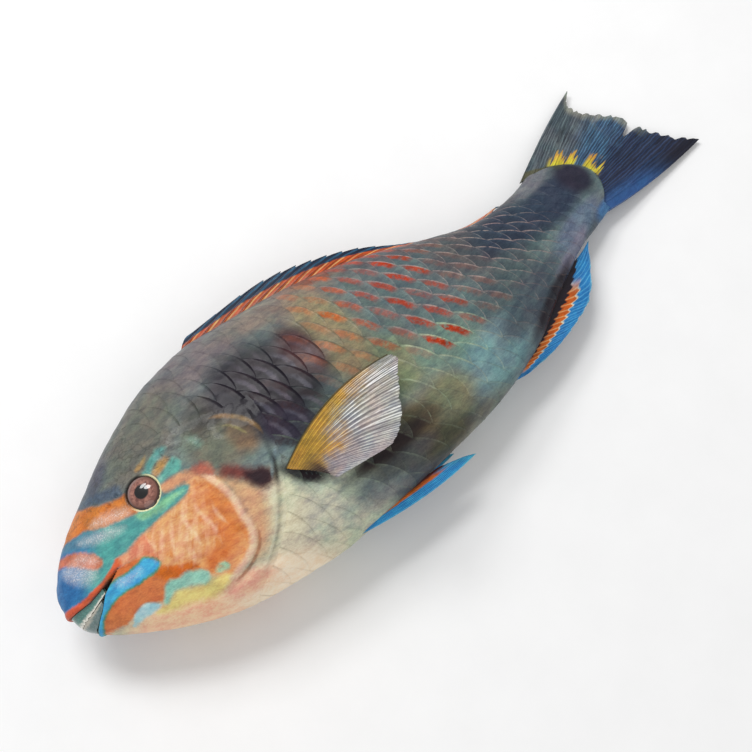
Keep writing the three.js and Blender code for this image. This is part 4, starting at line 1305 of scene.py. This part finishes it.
def pectoral_finish():
    f, s, v, strand, fish = fin_base("pectoral_fin_skin")
    run = f.number("phase") * FULL_TURN
    uneven = f.noise(fish, 0.14, 3.0)
    membrane = f.blend(s, "#857c6a", "#a49eac")
    membrane = f.blend(f.step(0.4, 0.7, uneven) * 0.6, membrane, "#84869a")
    hairs = f.step(0.35, 0.95, (run * 2.0 + f.wander(fish, 0.2, 2.0, 2.0)).wave())
    colour = f.blend(f.step(0.3, 0.95, strand) * 0.34 + hairs * 0.16, membrane, "#dcd6ce")
    middle = f.step(0.25, 0.6, v) * f.step(0.62, 0.3, s) * f.step(0.02, 0.1, s)
    # Painted highlight: white streaks along the rays where the wet fin catches the light
    shine = f.step(0.46, 0.6, f.streaks(s * 30.0, v * 3.0)) * f.step(0.35, 0.85, strand)
    shine = shine * (0.25 + middle * 0.75)
    colour = f.blend(shine * 0.85, colour, "#ffffff")
    golden = f.step(0.9, 0.5, v * 0.95 + s * 0.8 + (uneven - 0.5) * 0.7 + hairs * 0.1)
    gold = f.blend(f.step(0.2, 0.9, strand), "#a67a1c", "#dfae30")
    colour = f.blend(golden * 0.92, colour, gold)
    cream = f.step(0.7, 1.0, s) * f.step(0.8, 0.3, v)
    colour = f.blend(cream * 0.5, colour, "#b89c8c")
    colour = f.blend(f.step(0.05, 0.015, s), colour, "#4e4426")
    colour = f.blend(f.step(0.14, 0.04, v) * f.step(0.2, 0.7, s) * 0.85, colour, "#33202a")
    alpha = (0.68 + strand * 0.32 + golden * 0.3).clipped()
    return fin_done(f, colour, strand, fish, Alpha=alpha)


def pelvic_finish():
    f, s, v, strand, fish = fin_base("pelvic_fin_skin")
    lines = (s * 60.0 + v * 6.0 + f.wander(fish, 0.2, 5.0)).wave()
    colour = f.blend(f.step(0.2, 1.0, lines), "#1f83c6", "#4fb2e0")
    colour = f.blend(f.step(0.12, 0.0, s) * 0.5, colour, "#7fcfe0")
    colour = f.blend(f.step(0.85, 1.0, v) * 0.5, colour, "#4a9fae")
    uneven = f.wander(fish, 0.3, 0.12)
    colour = f.blend(f.step(0.6, 0.68, s + uneven) * f.step(0.95, 0.8, v), colour, "#c4641e")
    # Painted shade on the fin's last rays, which lie against the belly
    colour = f.blend(f.step(0.8, 0.9, s + uneven), colour, "#4a1610")
    return fin_done(f, colour, strand, fish)


def make_fins():
    make_fin("dorsal_fin_dressed", "dorsal_fin", dorsal_sheet, dorsal_finish(), rays=19, rows=24,
             membrane=0.6, ridge=0.6, taper=0.5, notch=0.13, seed=4, slant=0.07, stepped=True)
    make_fin("anal_fin_dressed", "anal_fin", anal_sheet, anal_finish(), rays=11, rows=28, membrane=0.6,
             ridge=0.5, taper=0.5, notch=0.05, branch=1.0, per_ray=24, ragged=0.03, seed=5, slant=0.12)
    make_fin("tail_fin_dressed", "tail_fin", caudal_sheet, caudal_finish(), rays=15, rows=64, membrane=1.5,
             ridge=0.7, taper=0.3, notch=0.012, branch=1.0, per_ray=30, ragged=0.04, seed=6,
             split=(0.605, 0.21, 0.028), start=-0.08)
    pectoral = pectoral_finish()
    for name, sheet in (("left", pectoral_left_sheet), ("right", pectoral_right_sheet)):
        make_fin(f"pectoral_fin_{name}_dressed", f"pectoral_fin_{name}", sheet, pectoral, rays=17, rows=44,
                 membrane=0.4, ridge=0.3, taper=0.6, notch=0.008, branch=1.0, per_ray=22, ragged=0.02,
                 seed=7, start=-0.04)
    pelvic = pelvic_finish()
    for name, sheet in (("left", pelvic_left_sheet), ("right", pelvic_right_sheet)):
        make_fin(f"pelvic_fin_{name}_dressed", f"pelvic_fin_{name}", sheet, pelvic, rays=6, rows=44,
                 membrane=0.8, ridge=0.25, taper=0.5, branch=1.0, per_ray=24, seed=8, start=-0.04)


# Eyes
def eye_finish():
    f = Finish("eye_gloss", IOR=1.35, Specular_IOR_Level=0.2, Coat_Weight=1.0, Coat_Roughness=0.02,
               Coat_IOR=1.6)
    disc = f.vector("disc")
    radius = disc.part(2)
    fibres = f.noise(disc.scaled((1.0, 1.0, 0.15)), 0.9, 4.0, 0.6)
    iris = f.blend(f.step(0.35, 0.65, fibres), "#6e4038", "#a87464")
    iris = f.blend(f.step(4.4, 6.1, radius), iris, "#7c5044")
    iris = f.blend(f.step(3.5, 3.0, radius) * 0.6, iris, "#3c2222")
    iris = f.blend(f.step(6.1, 6.5, radius), iris, "#4a2a22")
    colour = f.blend(f.step(PUPIL_RADIUS + 0.12, PUPIL_RADIUS - 0.12, radius), iris, "#020203")
    colour = f.blend(f.step(IRIS_RADIUS + 0.2, IRIS_RADIUS + 0.5, radius), colour, "#2a1a16")
    return f.done(Base_Color=colour, Roughness=0.3 + fibres * 0.1)


def make_eye(name, node, side, finish):
    """An eyeball with its iris and pupil painted on a dome."""
    rings, sides = 48, 96
    angle = np.linspace(0, math.pi, rings)[1:-1]
    around = 2 * math.pi * np.arange(sides) / sides
    tilt, turn = np.meshgrid(angle, around, indexing="ij")
    aim = EYE_AIM * (1, 1, side)
    right = np.cross((0, 1, 0), aim)
    right /= np.linalg.norm(right)
    up = np.cross(aim, right)
    flat, deep = EYE_RADIUS - 0.25, EYE_DEPTH - 0.2
    a, b, c = flat * np.sin(tilt) * np.cos(turn), flat * np.sin(tilt) * np.sin(turn), deep * np.cos(tilt)
    centre = eye_centre(side)
    to_place = lambda a, b, c: centre + a[..., None] * right + b[..., None] * up + c[..., None] * aim
    poles = to_place(np.zeros(2), np.zeros(2), np.array((deep, -deep)))
    points = np.concatenate((to_place(a, b, c).reshape(-1, 3), poles))
    count = (rings - 2) * sides
    quads = unfolded(rings - 2, sides)
    i = np.arange(rings - 3) * sides
    seam = np.stack((i + sides - 1, i + 2 * sides - 1, i + sides, i), -1)
    j = np.arange(sides)
    top = np.stack((np.full(sides, count), j, (j + 1) % sides), -1)
    base = count - sides
    bottom = np.stack((np.full(sides, count + 1), base + (j + 1) % sides, base + j), -1)
    quads, seam = np.concatenate((quads, seam)), []
    if side < 0:
        quads, top, bottom = quads[:, ::-1], top[:, ::-1], bottom[:, ::-1]
    radius = np.where(np.cos(tilt) > 0, flat * np.sin(tilt), flat + 2).ravel()
    disc = np.column_stack((a.ravel(), b.ravel(), radius))
    disc = np.concatenate((disc, ((0, 0, 0), (0, 0, flat + 4))))
    span = np.clip(np.append(tilt.ravel(), (0, math.pi)) / math.pi, 0, 1) * 0.48
    spin = np.append(turn.ravel(), (0, 0))
    uv = np.stack((0.5 + span * np.cos(spin), 0.5 + span * np.sin(spin)), -1)
    piece = make_piece(name, in_frame(points), [quads, np.concatenate((top, bottom))], finish, "eye", uv=uv,
                       fish=points, disc=disc)
    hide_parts(node)


# Beak
def beak_finish(name, plate_code, edge_code):
    f = Finish(name, IOR=1.5, Coat_Roughness=0.08, Coat_IOR=1.4)
    fish, place = f.vector("fish"), f.vector("plate")
    teeth = f.cells(fish.scaled((0.9, 0.55, 0.9)), 1.0, "DISTANCE_TO_EDGE")
    mottle = f.noise(fish, 0.5, 4.0)
    colour = f.blend(mottle, plate_code, "#3f6f6a")
    colour = f.blend(f.step(0.12, 0.02, teeth) * 0.35, colour, "#27403e")
    jagged = place.part(1) + f.wander(fish, 0.9, 0.5, 2.0)
    colour = f.blend(f.step(0.6, 0.95, jagged), colour, edge_code)
    normal = f.bump(teeth, 0.5, 0.0005)
    glaze = 0.5 + mottle * 0.2
    return f.done(Base_Color=colour, Roughness=0.22 + mottle * 0.15, Coat_Weight=glaze, Normal=normal)


def front_of(y):
    """The foremost length of the body at height y."""
    xs = np.linspace(0, 40, 400)
    return np.where(y > SNOUT_TIP[1], np.interp(y, back_at(xs), xs), np.interp(-y, -belly_at(xs), xs))


def make_plate(name, node, top_line, bottom_line, end, finish, jag_on_top):
    """A tooth plate that wraps round the front of the mouth from one corner to the other."""
    columns, rows, inset, thick = 121, 22, 0.4, 1.6
    w, v = np.meshgrid(np.linspace(-1, 1, columns), np.linspace(0, 1, rows), indexing="ij")
    top_at = lambda x: np.interp(x, *np.array(top_line).T)
    bottom_at = lambda x: np.interp(x, *np.array(bottom_line).T)
    x = 2 + (end - 2) * w * w
    tooth = 0.35 * np.abs(np.sin(w * 26)) + 0.15 * np.sin(w * 61)
    for _ in range(6):
        high, low = top_at(x) - GAP, bottom_at(x) + GAP
        y = mix(high, low, v)
        y = y + (tooth * (1 - v) ** 3 if jag_on_top else -tooth * v ** 3) * (1 - w ** 6)
        front = front_of(y)
        x = front + (np.maximum(end, front + 0.5) - front) * w * w
    surface = lambda depth: in_from_skin(x, y, np.sign(w), depth)
    points, faces = slab(surface(inset), surface(inset + thick), columns, rows)
    edge = (1 - v) if jag_on_top else v
    side = np.repeat((0.0, 1.0), w.size)
    uv = np.stack((twice(w) * 0.49 + 0.5, twice(v) * 0.48 + side * 0.5 + 0.01), -1)
    piece = make_piece(name, in_frame(points), [faces], finish, "beak", uv=uv, fish=points,
                       plate=np.stack((twice(w), twice(edge), 0 * twice(w)), -1))
    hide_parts(node)


def in_from_skin(x, y, side, depth):
    """Places under the skin by depth, at x and y in the side view, on the side that side tells."""
    angle = np.arcsin(np.clip((y - middle_at(x)) / tall_at(x), -1, 1))
    angle = np.where(side < 0, math.pi - angle, angle)
    return ring_point(x, angle) - out_of_ring(x, angle) * depth


# Stage, lights and camera
def make_stage():
    size = 3.0
    mesh = bpy.data.meshes.new("floor")
    corners = [(x * size, y * size, 0) for x, y in ((-1, -1), (1, -1), (1, 1), (-1, 1))]
    mesh.from_pydata(corners, [], [(0, 1, 2, 3)])
    f = Finish("floor_white", Roughness=0.9, Specular_IOR_Level=0.1)
    fine = f.noise(f.node("ShaderNodeTexCoord", {}, {}, 3), 40.0)
    mesh.materials.append(f.done(Base_Color=f.blend(fine, "#f4f4f4", "#fafafa")))
    floor = added("floor", mesh)


CAMERA_TARGET = (165.3, -0.3, 22)  # in the laid fish, millimetres
CAMERA_AZIMUTH, CAMERA_ELEVATION, CAMERA_DISTANCE = math.radians(-32.5), math.radians(73), 0.4687


def add_facing(name, data, offset):
    """An object at an offset from the camera's target that faces it."""
    thing = added(name, data)
    thing.location = Vector(np.array(CAMERA_TARGET) * MM + ORIGIN) + offset
    thing.rotation_mode = "QUATERNION"
    thing.rotation_quaternion = (-offset).to_track_quat("-Z", "Y")
    return thing


def make_camera():
    data = bpy.data.cameras.new("camera")
    data.lens, data.sensor_width = 50, 36
    data.clip_start, data.clip_end = 0.01, 20
    turn, level = CAMERA_AZIMUTH, math.cos(CAMERA_ELEVATION)
    back = Vector((math.sin(turn) * level, -math.cos(turn) * level, math.sin(CAMERA_ELEVATION)))
    bpy.context.scene.camera = add_facing("camera", data, back * CAMERA_DISTANCE)


def make_light(name, place, size, power):
    data = bpy.data.lights.new(name, "AREA")
    data.shape, data.energy = "ELLIPSE", power
    data.size, data.size_y = size
    add_facing(name, data, Vector(place))


def make_lights():
    world = bpy.data.worlds.new("soft_daylight")
    world.use_nodes = True
    background = world.node_tree.nodes["Background"]
    background.inputs["Color"].default_value = (1, 1, 1, 1)
    background.inputs["Strength"].default_value = 0.5
    bpy.context.scene.world = world
    make_light("key", (0.05, 0.6, 1.0), (0.55, 0.3), 5)
    make_light("window", (-0.22, 0.98, 1.0), (0.6, 0.32), 5)
    make_light("fill", (-0.5, -0.9, 0.9), (1.2, 1.2), 3)
    bpy.context.scene.view_settings.view_transform = "Standard"


make_camera()
make_lights()
make_stage()
make_skin(skin_finish())
make_scales(scale_finish())
make_fins()
eyes = eye_finish()
make_eye("eye_left_dressed", "eye_left", 1, eyes)
make_eye("eye_right_dressed", "eye_right", -1, eyes)
upper_glaze = beak_finish("beak_upper_glaze", "#6a9a90", "#e6e2d6")
lower_glaze = beak_finish("beak_lower_glaze", "#8b9294", "#b9b4a6")
make_plate("beak_upper_dressed", "beak_upper", UPPER_LIP, BITE, 20.4, upper_glaze, False)
make_plate("beak_lower_dressed", "beak_lower", BITE, LOWER_LIP, 17.2, lower_glaze, True)
